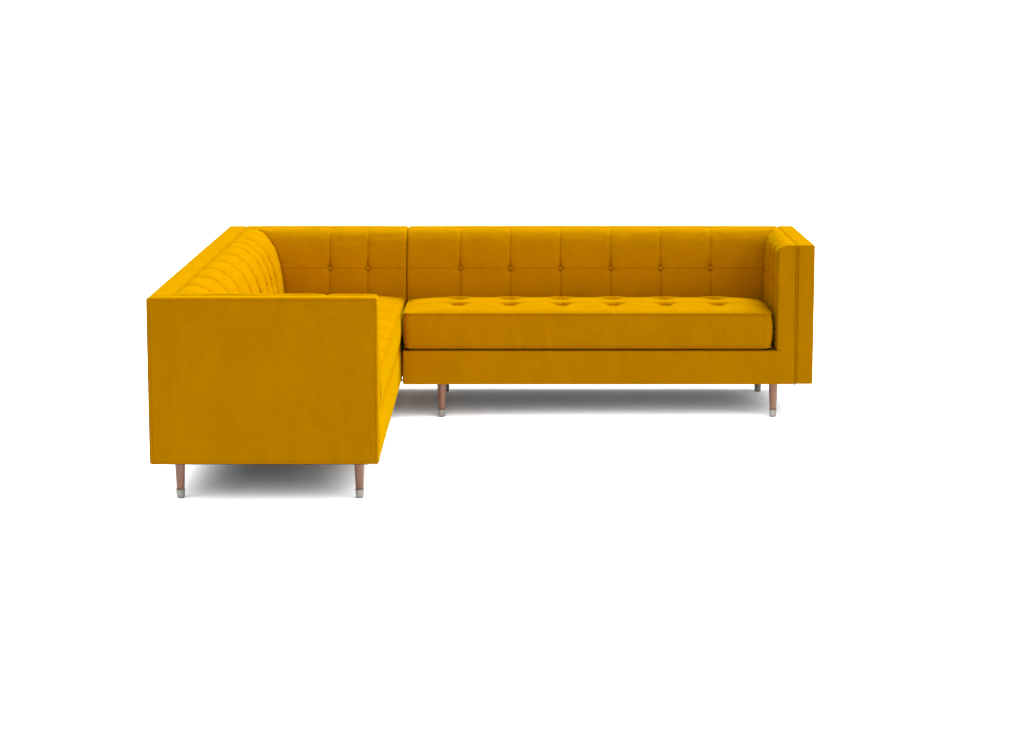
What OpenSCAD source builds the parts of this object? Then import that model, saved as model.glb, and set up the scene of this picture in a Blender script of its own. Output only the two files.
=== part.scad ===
// Two-unit corner sofa: a corner unit with a long back, a return back and one arm, and an
// armless-left bench unit with one arm. Button-tufted pads, loose bench cushions, tapered legs.
// Origin: centre of the footprint on the floor. +X right, +Y to the back, +Z up. Millimetres.

/* [Overall] */
// Width over both units
overall_w = 2750; // [2650:10:2850]
// Depth over both units, near arm to back line
overall_d = 2740; // [2650:10:2850]
// Height of backs and arms above the floor
overall_h = 804; // [790:2:830]
// Corner unit: outside of the long back to the seat front
corner_w = 870; // [850:5:900]
// Bench unit: seat front to back line
bench_d = 885; // [865:5:915]
// Gap between the two units when joined
unit_gap = 10; // [8:1:16]

/* [Backs and arms] */
// Thickness of a back's upholstered frame
back_shell_t = 84.5; // [80:0.5:90]
// Thickness of an arm's upholstered frame
arm_shell_t = 77.5; // [74:0.5:84]
// Back thickness at the seat, pad included
back_t = 297; // [285:1:305]
// Arm thickness, pad included
arm_t = 165; // [160:1:175]
// Height of the button row above the floor
button_z = 625; // [600:5:650]
// Diameter of a covered button
button_d = 17; // [14:1:20]

/* [Seat] */
// Height of the deck that the cushions lie on
deck_z = 320; // [315:1:325]
// Bottom edge of the cushion boxing
boxing_z0 = 333; // [331:1:336]
// Top edge of the cushion boxing
boxing_z1 = 485; // [475:1:490]
// Rise of the crown over the boxing
crown_h = 32; // [26:1:50]
// Plan radius of the cushion corners
cushion_r = 32; // [26:1:40]

/* [Legs] */
// Height of the legs, floor to base
leg_h = 165; // [160:1:170]
// Leg diameter under the base
leg_top_d = 42; // [38:1:46]
// Leg diameter at the ferrule
leg_low_d = 31; // [29:1:32]
// Height of the ferrule's top edge
ferrule_z = 36; // [32:1:40]

/* [Movement] */
// Length of a cushion's zip as a share of the cushion
zip_share = 0.8; // [0.6:0.05:0.85]

/* [Hidden] */

// Colours
velvet = "#d39b07";
velvet_dark = "#b98405";
beech = "#a8764f";
pine = "#d8b98a";
steel = "#9c9c98";
foam_yellow = "#efe3b8";
cloth_black = "#25262a";

// Fits and thicknesses
fit = 0.5;          // between pieces of one unit
skin = 5;           // outer cover with its card and wadding
cover_t = 3;        // pad and cushion covers with their wadding
welt_w = 9;         // seam zone that a welt cord lies in
welt_r = 4;         // welt cord radius
welt_notch = 9;     // depth of the notch in a base frame for an end welt
edge_r = 8;         // rounded outline corners of the frames
rail_t = 28;        // rail timber
dust_t = 2;
deck_t = 8;
lip_w = 40;         // cover turned over the top of the front rail
steps = 20;         // points on a curved outline

// Places in plan, from the near left corner of the footprint
bench_x = corner_w + unit_gap;
bench_y = overall_d - bench_d;
bench_w = overall_w - bench_x;
back_pad_y = back_shell_t + welt_w;
arm_pad_y = arm_shell_t + welt_w;
rail_z0 = leg_h + dust_t;
rail_z1 = 305;
wire_t = 4;
pad_top = overall_h - 1;

// Cushions: room to the pads beside and behind
side_room = 3;
rear_room = 6;
bench_arm_room = 14;
boxing_z = (boxing_z0 + boxing_z1) / 2;
corner_seat_len = overall_d - back_t - side_room - arm_t - side_room;
corner_seat_dep = corner_w - back_t - rear_room;
bench_seat_x = bench_x + side_room;
bench_seat_len = overall_w - arm_t - bench_arm_room - bench_seat_x;
bench_seat_dep = bench_d - back_t - rear_room;
seat_rows = [0.36, 0.69];

// Tuft spacings: the long back's channels close up where it runs behind the corner
long_first = 403;
long_pitch = 278;
corner_pitch = 187;
return_pitch = 182;
bench_first = 250;
bench_pitch = 239.5;
arm_pitch = (bench_d - back_t) / 3;
long_back_tufts = concat([for (i = [0:5]) long_first + long_pitch * i],
                         [for (i = [1:2]) long_first + long_pitch * 5 + corner_pitch * i]);
return_tufts = [for (i = [1:2]) return_pitch * i];
bench_back_tufts = [for (i = [0:5]) bench_first + bench_pitch * i];
near_arm_tufts = [for (i = [1:2]) corner_w - arm_pitch * i];
bench_arm_tufts = [for (i = [1:2]) arm_pitch * i];
corner_seat_tufts = [for (i = [1:7]) corner_seat_len * i / 8];
bench_seat_tufts = [for (x = bench_back_tufts) x - side_room];

// Legs in plan
leg_back_in = 92;
leg_front_in = 83;
leg_arm_in = 170;
leg_rear_in = 100;
bench_leg_in = [175, 90];
corner_leg_xy = [for (x = [leg_back_in, corner_w - leg_front_in],
                      y = [leg_arm_in, overall_d / 2, overall_d - leg_rear_in]) [x, y]];
bench_leg_xy = [for (x = [bench_x + bench_leg_in[0], overall_w - leg_arm_in],
                     y = [bench_y + bench_leg_in[1], overall_d - leg_rear_in]) [x, y]];

// Leg details
glide_h = 4;
glide_d = 27;
ferrule_top_d = 34.5;
ferrule_low_d = 30;
tenon_d = 24;
bolt_d = 8;
barrel_d = 11;
block_h = 45;
block_w = 140;

// Springs
spring_amp = 22;
spring_waves = 14;
seat_rail_in = 215;    // rear seat rail, from the outside of the back

// Connectors under the joint between the units
connector_y = [bench_y + 150, overall_d - 230];
jaw_l = 60;
jaw_w = 56;
jaw_h = 9;
tongue_w = 40;
tongue_t = 3;

// ---------------------------------------------------------------- placement

module plan() {
  translate([-overall_w / 2, -overall_d / 2, 0]) children();
}

// A run has local X along its length, local Y from its outer face inwards and Z up.
module long_back_run() { plan() mirror([1, -1, 0]) children(); }
module near_arm_run() { plan() children(); }
module return_run() { plan() translate([corner_w, overall_d, 0]) rotate([0, 0, 180]) children(); }
module bench_back_run() { plan() translate([bench_x, overall_d, 0]) mirror([0, 1, 0]) children(); }
module bench_arm_run() { plan() translate([overall_w, bench_y, 0]) rotate([0, 0, 90]) children(); }

// A cushion has local X along its front edge and local Y from front to rear.
module corner_seat_place() {
  plan() translate([corner_w, arm_t + side_room, 0]) rotate([0, 0, 90]) children();
}
module bench_seat_place() {
  plan() translate([bench_seat_x, bench_y, 0]) children();
}

module box(x0, x1, y0, y1, z0, z1) {
  translate([x0, y0, z0]) cube([x1 - x0, y1 - y0, z1 - z0]);
}

// Extrudes an outline in local Y and Z along local X.
module along_x(x0, x1) {
  translate([x0, 0, 0]) rotate([90, 0, 90]) linear_extrude(x1 - x0) children();
}

module rounded_rect(w, h, r) {
  translate([r, 0]) square([w - 2 * r, h]);
  translate([0, r]) square([w, h - 2 * r]);
  for (x = [r, w - r], y = [r, h - r]) translate([x, y]) circle(r, $fn = 32);
}

// ---------------------------------------------------------------- timber

module ring(x0, x1, y0, y1, z0, z1) {
  difference() {
    box(x0, x1, y0, y1, z0, z1);
    box(x0 + rail_t, x1 - rail_t, y0 + rail_t, y1 - rail_t, z0 - 1, z1 + 1);
  }
}

module base_timbers(x0, x1, y0, y1, legs) {
  difference() {
    union() {
      ring(x0, x1, y0, y1, rail_z0, rail_z1);
      for (p = legs) intersection() {
        box(p[0] - block_w / 2, p[0] + block_w / 2, p[1] - block_w / 2, p[1] + block_w / 2,
            rail_z0, rail_z0 + block_h);
        box(x0, x1, y0, y1, rail_z0, rail_z1);
      }
      for (x = [0, 1], y = [0, 1]) translate([x ? x1 - rail_t : x0 + rail_t,
                                              y ? y1 - rail_t : y0 + rail_t, rail_z0 + 70])
        mirror([x, 0, 0]) mirror([0, y, 0])
          linear_extrude(60) polygon([[0, 0], [70, 0], [0, 70]]);
      children();
    }
    for (p = legs) translate([p[0], p[1], leg_h])
      cylinder(h = 100, d = barrel_d + 0.2, $fn = 32);
  }
}

module corner_base_frame() {
  x0 = skin + fit;
  x1 = corner_w - skin - fit;
  color(pine) plan() difference() {
    base_timbers(x0, x1, x0, overall_d - skin - fit, corner_leg_xy) {
      box(seat_rail_in, seat_rail_in + rail_t, x0 + rail_t, overall_d - x0 - rail_t,
          rail_z0, rail_z1);
      for (i = [1:4]) box(x0 + rail_t, x1 - rail_t, overall_d * i / 5 - rail_t / 2,
                          overall_d * i / 5 + rail_t / 2, rail_z0, rail_z0 + 80);
    }
    box(corner_w - welt_notch, corner_w, arm_shell_t, arm_shell_t + welt_w, leg_h, deck_z);
  }
}

module bench_base_frame() {
  x0 = bench_x + skin + fit;
  x1 = overall_w - skin - fit;
  y0 = bench_y + skin + fit;
  y1 = overall_d - skin - fit;
  color(pine) plan() difference() {
    base_timbers(x0, x1, y0, y1, bench_leg_xy) {
      box(x0 + rail_t, x1 - rail_t, overall_d - seat_rail_in - rail_t,
          overall_d - seat_rail_in, rail_z0, rail_z1);
      for (i = [1:2]) box(bench_x + bench_w * i / 3 - rail_t / 2, bench_x + bench_w * i / 3
                          + rail_t / 2, y0 + rail_t, y1 - rail_t, rail_z0, rail_z0 + 80);
    }
    box(overall_w - arm_shell_t - welt_w, overall_w - arm_shell_t, bench_y,
        bench_y + welt_notch, leg_h, deck_z);
  }
}

// A back or arm frame: rails with posts between them, standing on the base frame.
module ladder(x0, x1, t, bays) {
  post = 45;
  z1 = overall_h - skin - fit;
  bay = (x1 - x0 - post) / bays;
  difference() {
    box(x0, x1, 20, t - 20, rail_z1, z1);
    for (i = [0:bays - 1])
      box(x0 + post + bay * i, x0 + bay * (i + 1), 0, t, rail_z1 + 60, z1 - 60);
  }
}

module corner_upper_frame() {
  color(pine) {
    near_arm_run() ladder(skin + fit, corner_w - skin - fit, arm_shell_t, 3);
    long_back_run() ladder(arm_shell_t + skin + 2 * fit, overall_d - skin - fit,
                           back_shell_t, 7);
    return_run() ladder(skin + fit, corner_w - back_shell_t - skin - 2 * fit,
                        back_shell_t, 2);
  }
}

module bench_upper_frame() {
  color(pine) {
    bench_arm_run() ladder(skin + fit, bench_d - skin - fit, arm_shell_t, 3);
    bench_back_run() ladder(skin + fit, bench_w - arm_shell_t - skin - 2 * fit,
                            back_shell_t, 5);
  }
}

// ---------------------------------------------------------------- springs, webbing, cloths

// Centre line of a zigzag wire with flat-topped bends.
function wire_line(n, pitch, amp) =
  [for (i = [0:n - 1], k = [0.2, 0.8]) [pitch * (i + k), amp * (i % 2 == 0 ? 1 : -1)]];
function direction(p, i) =
  let (d = p[min(i + 1, len(p) - 1)] - p[max(i - 1, 0)]) d / norm(d);
function side_point(p, i, s) =
  let (d = direction(p, i)) p[i] + [-d[1], d[0]] * s;

module zigzag_spring(length) {
  p = wire_line(spring_waves, length / spring_waves, spring_amp);
  n = len(p) - 1;
  translate([0, 0, rail_z1]) linear_extrude(wire_t)
    polygon(concat([for (i = [0:n]) side_point(p, i, wire_t / 2)],
                   [for (i = [n:-1:0]) side_point(p, i, -wire_t / 2)]));
}

module spring_clip() {
  translate([0, -30, rail_z1 + wire_t + 0.2]) cube([14, 60, 1.6]);
  for (y = [-30, 27]) translate([0, y, rail_z1]) cube([14, 3, wire_t + 0.2]);
}

// Springs lie across the seat in local Y, side by side along local X.
module spring_rows(x0, x1, count, y0, y1) {
  for (i = [0:count - 1]) translate([x0 + (x1 - x0) * i / (count - 1), y0, 0])
    rotate([0, 0, 90]) zigzag_spring(y1 - y0);
}

module clip_rows(x0, x1, count, y0, y1) {
  for (i = [0:count - 1], y = [y0, y1 - 14]) translate([x0 + (x1 - x0) * i / (count - 1), y, 0])
    rotate([0, 0, 90]) spring_clip();
}

corner_springs_n = 16;
bench_springs_n = 13;
spring_y0 = skin + fit + 4;
corner_spring_y1 = corner_w - seat_rail_in - 4;
bench_spring_y1 = bench_d - seat_rail_in - 4;

module corner_spring_place() {
  plan() translate([corner_w, 0, 0]) rotate([0, 0, 90]) children();
}
module bench_spring_place() { plan() translate([bench_x, bench_y, 0]) children(); }

module corner_springs() {
  color(steel) corner_spring_place()
    spring_rows(arm_t + 70, overall_d - back_t - 70, corner_springs_n, spring_y0,
                corner_spring_y1);
}
module corner_spring_clips() {
  color(steel) corner_spring_place()
    clip_rows(arm_t + 70, overall_d - back_t - 70, corner_springs_n, spring_y0 + 3,
              corner_spring_y1 - 3);
}
module bench_springs() {
  color(steel) bench_spring_place()
    spring_rows(80, bench_w - arm_t - 70, bench_springs_n, spring_y0, bench_spring_y1);
}
module bench_spring_clips() {
  color(steel) bench_spring_place()
    clip_rows(80, bench_w - arm_t - 70, bench_springs_n, spring_y0 + 3, bench_spring_y1 - 3);
}

// Webbing straps on the pad side of a frame.
module straps(x0, x1, t, count) {
  for (i = [0:count - 1]) {
    x = x0 + (x1 - x0) * (i + 0.5) / count;
    box(x - 25, x + 25, t - 20, t - 18, rail_z1 + 30, overall_h - 30);
  }
}

module corner_webbing() {
  color(cloth_black) {
    near_arm_run() straps(60, corner_w - 60, arm_shell_t, 5);
    long_back_run() straps(arm_shell_t + 60, overall_d - 60, back_shell_t, 16);
    return_run() straps(60, corner_w - back_shell_t - 60, back_shell_t, 4);
  }
}

module bench_webbing() {
  color(cloth_black) {
    bench_arm_run() straps(60, bench_d - 60, arm_shell_t, 5);
    bench_back_run() straps(60, bench_w - arm_shell_t - 60, back_shell_t, 11);
  }
}

module corner_deck() {
  color(velvet_dark) plan()
    box(back_shell_t + fit, corner_w - lip_w - fit, arm_shell_t + fit,
        overall_d - back_shell_t - fit, deck_z - deck_t, deck_z);
}

module bench_deck() {
  color(velvet_dark) plan()
    box(bench_x + lip_w + fit, overall_w - arm_shell_t - fit, bench_y + lip_w + fit,
        overall_d - back_shell_t - fit, deck_z - deck_t, deck_z);
}

module dust_sheet(x0, x1, y0, y1, legs) {
  difference() {
    box(x0, x1, y0, y1, leg_h, leg_h + dust_t);
    for (p = legs) translate([p[0], p[1], leg_h - 1]) cylinder(h = dust_t + 2, d = 13, $fn = 32);
  }
}

module corner_dust_cover() {
  color(cloth_black) plan()
    dust_sheet(skin + fit, corner_w - lip_w - fit, skin + fit, overall_d - skin - fit,
               corner_leg_xy);
}

module bench_dust_cover() {
  color(cloth_black) plan()
    dust_sheet(bench_x + lip_w + fit, overall_w - skin - fit, bench_y + lip_w + fit,
               overall_d - skin - fit, bench_leg_xy);
}

// ---------------------------------------------------------------- outer covers

// Cover of a back or arm: closed above the deck, open to the base frame below it.
// An end that meets another run is open below the deck as well.
module run_shell(x0, x1, t, open_low, open_high) {
  low = open_low ? x0 - 1 : x0 + skin;
  high = open_high ? x1 + 1 : x1 - skin;
  difference() {
    translate([x0, t, leg_h]) rotate([90, 0, 0]) linear_extrude(t)
      rounded_rect(x1 - x0, overall_h - leg_h, edge_r);
    box(x0 + skin, x1 - skin, skin, t - skin, deck_z - 1, overall_h - skin);
    box(low, high, skin, t + 1, leg_h - 1, deck_z);
  }
}

module corner_long_back_cover() {
  color(velvet) long_back_run()
    run_shell(arm_shell_t + fit, overall_d, back_shell_t, true, false);
}
module corner_return_back_cover() {
  color(velvet) return_run() run_shell(0, corner_w - back_shell_t - fit, back_shell_t,
                                       false, true);
}
module corner_arm_cover() {
  color(velvet) near_arm_run() run_shell(0, corner_w, arm_shell_t, false, false);
}
module bench_back_cover() {
  color(velvet) bench_back_run()
    run_shell(0, bench_w - arm_shell_t - fit, back_shell_t, false, true);
}
module bench_arm_cover() {
  color(velvet) bench_arm_run() run_shell(0, bench_d, arm_shell_t, false, false);
}

// Cover of a front rail: face with lips turned over its top and bottom, in local Y and Z.
module rail_wrap(x0, x1) {
  box(x0, x1, 0, skin, leg_h, deck_z);
  box(x0, x1, 0, lip_w, deck_z - skin, deck_z);
  box(x0, x1, 0, lip_w, leg_h, leg_h + dust_t);
}

module corner_base_cover() {
  color(velvet) plan() translate([corner_w, 0, 0]) rotate([0, 0, 90])
    rail_wrap(arm_shell_t + welt_w + fit, overall_d - back_shell_t - fit);
}

module bench_base_cover() {
  color(velvet) plan() {
    translate([0, bench_y, 0]) rail_wrap(bench_x, overall_w - arm_shell_t - welt_w - fit);
    translate([bench_x, 0, 0]) mirror([1, -1, 0])
      rail_wrap(bench_y, overall_d - back_shell_t - fit);
  }
}

// ---------------------------------------------------------------- pads

// Depth of a pad's face at a share s of its height: full at the seat, rolling to the crest.
function pad_depth(s, t, n) = t * pow(max(0, 1 - pow(s, n)), 1 / 3);
back_curve = 2.5;
arm_curve = 9;
pad_z0 = deck_z + fit;
pad_h = pad_top - pad_z0;

module pad_outline(t, n, inset) {
  h = pad_h - 3 * inset;
  translate([0, pad_z0 + inset])
    polygon(concat([[0, 0]], [for (i = [0:steps])
      let (s = 1 - pow(1 - i / steps, 2)) [pad_depth(s, t - inset, n), s * h]]));
}

// Tuft pockets: cones that narrow towards the button.
tuft_r = 26;
tuft_depth = 16;
button_seat_r = button_d / 2 + 1.5;
function tuft_face(t, n) = pad_depth((button_z - pad_z0) / pad_h, t, n);

module tuft_pockets(xs, t, n, inset) {
  for (x = xs) translate([x, tuft_face(t, n) - tuft_depth - inset, button_z]) rotate([-90, 0, 0])
    cylinder(h = tuft_depth + inset + 14, r1 = button_seat_r + inset, r2 = tuft_r + 14 + inset,
             $fn = 48);
}

// The solid of a pad from its back face; mitred pads stop on a 45 degree plane.
module pad_solid(x0, x1, t, n, xs, mitred, inset) {
  m = inset * 1.5;
  difference() {
    along_x(x0 + inset, mitred ? x1 : x1 - inset) pad_outline(t, n, inset);
    tuft_pockets(xs, t, n, inset);
    if (mitred) translate([x1 - m, 0, 0]) rotate([0, 0, 45])
      translate([0, -1500, 0]) cube([1500, 3000, 1500]);
  }
}

module pad_cover(x0, x1, t, n, xs, mitred) {
  difference() {
    pad_solid(x0, x1, t, n, xs, mitred, 0);
    pad_solid(x0, x1, t, n, xs, mitred, cover_t);
  }
}

module pad_buttons(xs, t, n) {
  for (x = xs) translate([x, tuft_face(t, n) - tuft_depth + 0.2, button_z])
    rotate([-90, 0, 0]) button();
}

module button() {
  cylinder(h = 3, d = button_d, $fn = 48);
  translate([0, 0, 3]) cylinder(h = 2.6, d1 = button_d, d2 = button_d * 0.55, $fn = 48);
}

back_pad_t = back_t - back_pad_y;
arm_pad_t = arm_t - arm_pad_y;
long_x0 = arm_t + fit;
long_x1 = overall_d - back_pad_y;
return_x1 = corner_w - back_pad_y - fit;
bench_back_x1 = bench_w - arm_t - fit;
near_arm_x0 = back_pad_y;
bench_arm_x1 = bench_d - back_pad_y;

module corner_long_back_pad() {
  color(velvet) long_back_run() translate([0, back_pad_y, 0])
    pad_cover(long_x0, long_x1, back_pad_t, back_curve, long_back_tufts, true);
}
module corner_long_back_foam() {
  color(foam_yellow) long_back_run() translate([0, back_pad_y, 0])
    pad_solid(long_x0, long_x1, back_pad_t, back_curve, long_back_tufts, true, cover_t + fit);
}
module corner_return_back_pad() {
  color(velvet) return_run() translate([0, back_pad_y, 0])
    pad_cover(0, return_x1, back_pad_t, back_curve, return_tufts, true);
}
module corner_return_back_foam() {
  color(foam_yellow) return_run() translate([0, back_pad_y, 0])
    pad_solid(0, return_x1, back_pad_t, back_curve, return_tufts, true, cover_t + fit);
}
module corner_arm_pad() {
  color(velvet) near_arm_run() translate([0, arm_pad_y, 0])
    pad_cover(near_arm_x0, corner_w, arm_pad_t, arm_curve, near_arm_tufts, false);
}
module corner_arm_foam() {
  color(foam_yellow) near_arm_run() translate([0, arm_pad_y, 0])
    pad_solid(near_arm_x0, corner_w, arm_pad_t, arm_curve, near_arm_tufts, false,
              cover_t + fit);
}
module bench_back_pad() {
  color(velvet) bench_back_run() translate([0, back_pad_y, 0])
    pad_cover(0, bench_back_x1, back_pad_t, back_curve, bench_back_tufts, false);
}
module bench_back_foam() {
  color(foam_yellow) bench_back_run() translate([0, back_pad_y, 0])
    pad_solid(0, bench_back_x1, back_pad_t, back_curve, bench_back_tufts, false,
              cover_t + fit);
}
module bench_arm_pad() {
  color(velvet) bench_arm_run() translate([0, arm_pad_y, 0])
    pad_cover(0, bench_arm_x1, arm_pad_t, arm_curve, bench_arm_tufts, false);
}
module bench_arm_foam() {
  color(foam_yellow) bench_arm_run() translate([0, arm_pad_y, 0])
    pad_solid(0, bench_arm_x1, arm_pad_t, arm_curve, bench_arm_tufts, false, cover_t + fit);
}

module corner_buttons() {
  color(velvet) {
    long_back_run() translate([0, back_pad_y, 0])
      pad_buttons(long_back_tufts, back_pad_t, back_curve);
    return_run() translate([0, back_pad_y, 0])
      pad_buttons(return_tufts, back_pad_t, back_curve);
    near_arm_run() translate([0, arm_pad_y, 0])
      pad_buttons(near_arm_tufts, arm_pad_t, arm_curve);
  }
}

module bench_buttons() {
  color(velvet) {
    bench_back_run() translate([0, back_pad_y, 0])
      pad_buttons(bench_back_tufts, back_pad_t, back_curve);
    bench_arm_run() translate([0, arm_pad_y, 0])
      pad_buttons(bench_arm_tufts, arm_pad_t, arm_curve);
  }
}

// ---------------------------------------------------------------- welts on the frames

// Welt along the crest of a run, with its sewn-in flange.
module crest_welt(x0, x1, t) {
  y = t + welt_w / 2;
  translate([x0, y, overall_h - welt_r]) rotate([0, 90, 0])
    cylinder(h = x1 - x0, r = welt_r, $fn = 32);
  box(x0, x1, y - 0.75, y + 0.75, overall_h - 30, overall_h - welt_r);
}

// Welt down the end of a run at local X = 0, with its flange above the deck.
module end_welt(t, z0) {
  y = t + welt_w / 2;
  translate([welt_r, y, z0]) cylinder(h = overall_h - welt_r - z0, r = welt_r, $fn = 32);
  box(welt_r, 30, y - 0.75, y + 0.75, deck_z, overall_h - welt_r);
}

// Ball where the crest welt turns down the end.
module welt_turn(t) {
  translate([welt_r, t + welt_w / 2, overall_h - welt_r]) sphere(r = welt_r, $fn = 32);
}

module run_welts(x1, t, z0) {
  crest_welt(welt_r, x1, t);
  end_welt(t, z0);
  welt_turn(t);
}

module corner_welts() {
  color(velvet_dark) {
    near_arm_run() translate([corner_w, 0, 0]) mirror([1, 0, 0])
      run_welts(corner_w - back_pad_y, arm_shell_t, leg_h);
    long_back_run() crest_welt(arm_pad_y, overall_d - back_shell_t, back_shell_t);
    return_run() run_welts(corner_w - back_pad_y, back_shell_t, deck_z);
  }
}

module bench_welts() {
  color(velvet_dark) {
    bench_arm_run() run_welts(bench_d - back_shell_t - 1, arm_shell_t, leg_h);
    bench_back_run() run_welts(bench_w - arm_pad_y, back_shell_t, deck_z);
  }
}

// ---------------------------------------------------------------- legs

module at_legs(legs) {
  plan() for (p = legs) translate([p[0], p[1], 0]) children();
}

module leg() {
  color(beech) difference() {
    union() {
      translate([0, 0, ferrule_z + 1.5])
        cylinder(h = leg_h - ferrule_z - 1.5, d1 = leg_low_d, d2 = leg_top_d, $fn = 64);
      translate([0, 0, glide_h + 3]) cylinder(h = ferrule_z, d = tenon_d, $fn = 64);
    }
    translate([0, 0, leg_h - 40]) cylinder(h = 50, d = bolt_d + 0.1, $fn = 32);
  }
}

module ferrule() {
  color(steel) difference() {
    union() {
      translate([0, 0, glide_h])
        cylinder(h = ferrule_z - glide_h - 2, d1 = ferrule_low_d, d2 = ferrule_top_d, $fn = 64);
      translate([0, 0, ferrule_z - 2]) cylinder(h = 2, d = ferrule_top_d + 1, $fn = 64);
    }
    translate([0, 0, glide_h + 2.5]) cylinder(h = ferrule_z, d = tenon_d + 0.2, $fn = 64);
  }
}

module glide() { color("#6b4f3a") cylinder(h = glide_h, d1 = glide_d - 2, d2 = glide_d, $fn = 64); }

module leg_bolt() {
  color(steel) translate([0, 0, leg_h - 38]) cylinder(h = 38 + dust_t + block_h + 3, d = bolt_d,
                                                     $fn = 32);
}

module tee_nut() {
  top = rail_z0 + block_h;
  color(steel) difference() {
    union() {
      translate([0, 0, top]) cylinder(h = 1.6, d = 22, $fn = 32);
      translate([0, 0, top - 12]) cylinder(h = 12, d = barrel_d, $fn = 32);
    }
    translate([0, 0, top - 13]) cylinder(h = 20, d = bolt_d + 0.2, $fn = 32);
  }
}

module corner_legs() { at_legs(corner_leg_xy) leg(); }
module corner_ferrules() { at_legs(corner_leg_xy) ferrule(); }
module corner_glides() { at_legs(corner_leg_xy) glide(); }
module corner_leg_bolts() { at_legs(corner_leg_xy) leg_bolt(); }
module corner_tee_nuts() { at_legs(corner_leg_xy) tee_nut(); }
module bench_legs() { at_legs(bench_leg_xy) leg(); }
module bench_ferrules() { at_legs(bench_leg_xy) ferrule(); }
module bench_glides() { at_legs(bench_leg_xy) glide(); }
module bench_leg_bolts() { at_legs(bench_leg_xy) leg_bolt(); }
module bench_tee_nuts() { at_legs(bench_leg_xy) tee_nut(); }

// ---------------------------------------------------------------- connectors

// Female half under the corner unit's front rail, with its mouth towards the bench.
module connector_jaws() {
  x1 = corner_w - 1;
  slot = tongue_t + 1.4;
  color(steel) plan() for (y = connector_y) difference() {
    box(x1 - jaw_l, x1, y - jaw_w / 2, y + jaw_w / 2, leg_h - jaw_h, leg_h);
    box(x1 - jaw_l + 4, x1 + 1, y - tongue_w / 2 - 1, y + tongue_w / 2 + 1,
        leg_h - jaw_h + 2, leg_h - jaw_h + 2 + slot);
  }
}

// Male half under the bench unit: a mounting plate with a tongue that enters the jaw.
module connector_tongues() {
  z = leg_h - jaw_h + 2.7;
  color(steel) plan() for (y = connector_y) {
    box(corner_w - 42, bench_x + 70, y - tongue_w / 2, y + tongue_w / 2, z, z + tongue_t);
    box(bench_x + 10, bench_x + 70, y - tongue_w / 2, y + tongue_w / 2, z + tongue_t, leg_h);
  }
}

// ---------------------------------------------------------------- seat cushions

// Rise of the crown: quick at the edge, level in the middle.
function dome(u) = 1 - pow(1 - u, 2.2);

module crown_outline(length, rise, roll) {
  n = 7;
  polygon(concat([for (i = [0:n]) [roll * i / n, rise * dome(i / n)]],
                 [for (i = [n:-1:0]) [length - roll * i / n, rise * dome(i / n)]],
                 [[length, -60], [0, -60]]));
}

module cushion_plan(length, dep, inset, z0, z1) {
  translate([inset, inset, z0]) linear_extrude(z1 - z0)
    rounded_rect(length - 2 * inset, dep - 2 * inset, cushion_r - inset);
}

welt_step = 2 * welt_r + 0.2;

module cushion_solid(length, dep, xs, inset) {
  z0 = deck_z + 0.8 + inset;
  step = welt_step + inset;
  rise = crown_h - inset;
  difference() {
    union() {
      cushion_plan(length, dep, step, z0, boxing_z0 + inset);
      cushion_plan(length, dep, inset, boxing_z0 + inset, boxing_z1 - inset);
      intersection() {
        cushion_plan(length, dep, step, boxing_z1 - inset, boxing_z1 + crown_h + 1);
        translate([0, dep, boxing_z1]) rotate([90, 0, 0]) linear_extrude(dep)
          crown_outline(length, rise, 205);
        translate([0, 0, boxing_z1]) along_x(0, length) crown_outline(dep, rise, dep / 2 - 5);
      }
    }
    for (x = xs, r = seat_rows) translate([x, dep * r, seat_tuft_z(r) - inset])
      cylinder(h = 60, r1 = button_seat_r + inset, r2 = tuft_r + 40 + inset, $fn = 48);
  }
}

// Level of a seat button: a little under the crown at its row.
function seat_tuft_z(r) = boxing_z1 + crown_h * dome(min(r, 1 - r) * 2) - 24;

module cushion_cover(length, dep, xs) {
  difference() {
    cushion_solid(length, dep, xs, 0);
    cushion_solid(length, dep, xs, cover_t);
  }
}

module cushion_buttons(xs, dep) {
  for (x = xs, r = seat_rows) translate([x, dep * r, seat_tuft_z(r) + 0.2]) button();
}

// One welt cord around the cushion, centred at height z.
module welt_loop(length, dep, z) {
  c = welt_r + 0.1;
  r = cushion_r - c;
  a = c + r;
  translate([0, 0, z]) {
    for (y = [c, dep - c]) translate([a, y, 0]) rotate([0, 90, 0])
      cylinder(h = length - 2 * a, r = welt_r, $fn = 32);
    for (x = [c, length - c]) translate([x, a, 0]) rotate([-90, 0, 0])
      cylinder(h = dep - 2 * a, r = welt_r, $fn = 32);
    for (q = [[a, a, 180], [length - a, a, 270], [length - a, dep - a, 0], [a, dep - a, 90]])
      translate([q[0], q[1], 0]) rotate([0, 0, q[2]])
        rotate_extrude(angle = 90, $fn = 64) translate([r, 0]) circle(welt_r, $fn = 32);
  }
}

module cushion_welts(length, dep) {
  welt_loop(length, dep, boxing_z1 + welt_r + 0.1);
  welt_loop(length, dep, boxing_z0 - welt_r - 0.1);
}

// Zip chain along the rear boxing, and its slider with a pull tab.
chain_t = 1.5;
chain_w = 6;
module zip_chain(length, dep) {
  m = length * (1 - zip_share) / 2;
  box(m, length - m, dep, dep + chain_t, boxing_z - chain_w / 2, boxing_z + chain_w / 2);
}

module zip_slider(length, dep) {
  x = length * (1 - zip_share) / 2 + 6;
  y = dep + chain_t + 0.3;
  box(x, x + 12, y, y + 1.4, boxing_z - 5, boxing_z + 5);
  box(x + 3, x + 9, y + 1.4, y + 2.6, boxing_z - 26, boxing_z + 2);
}

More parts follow.
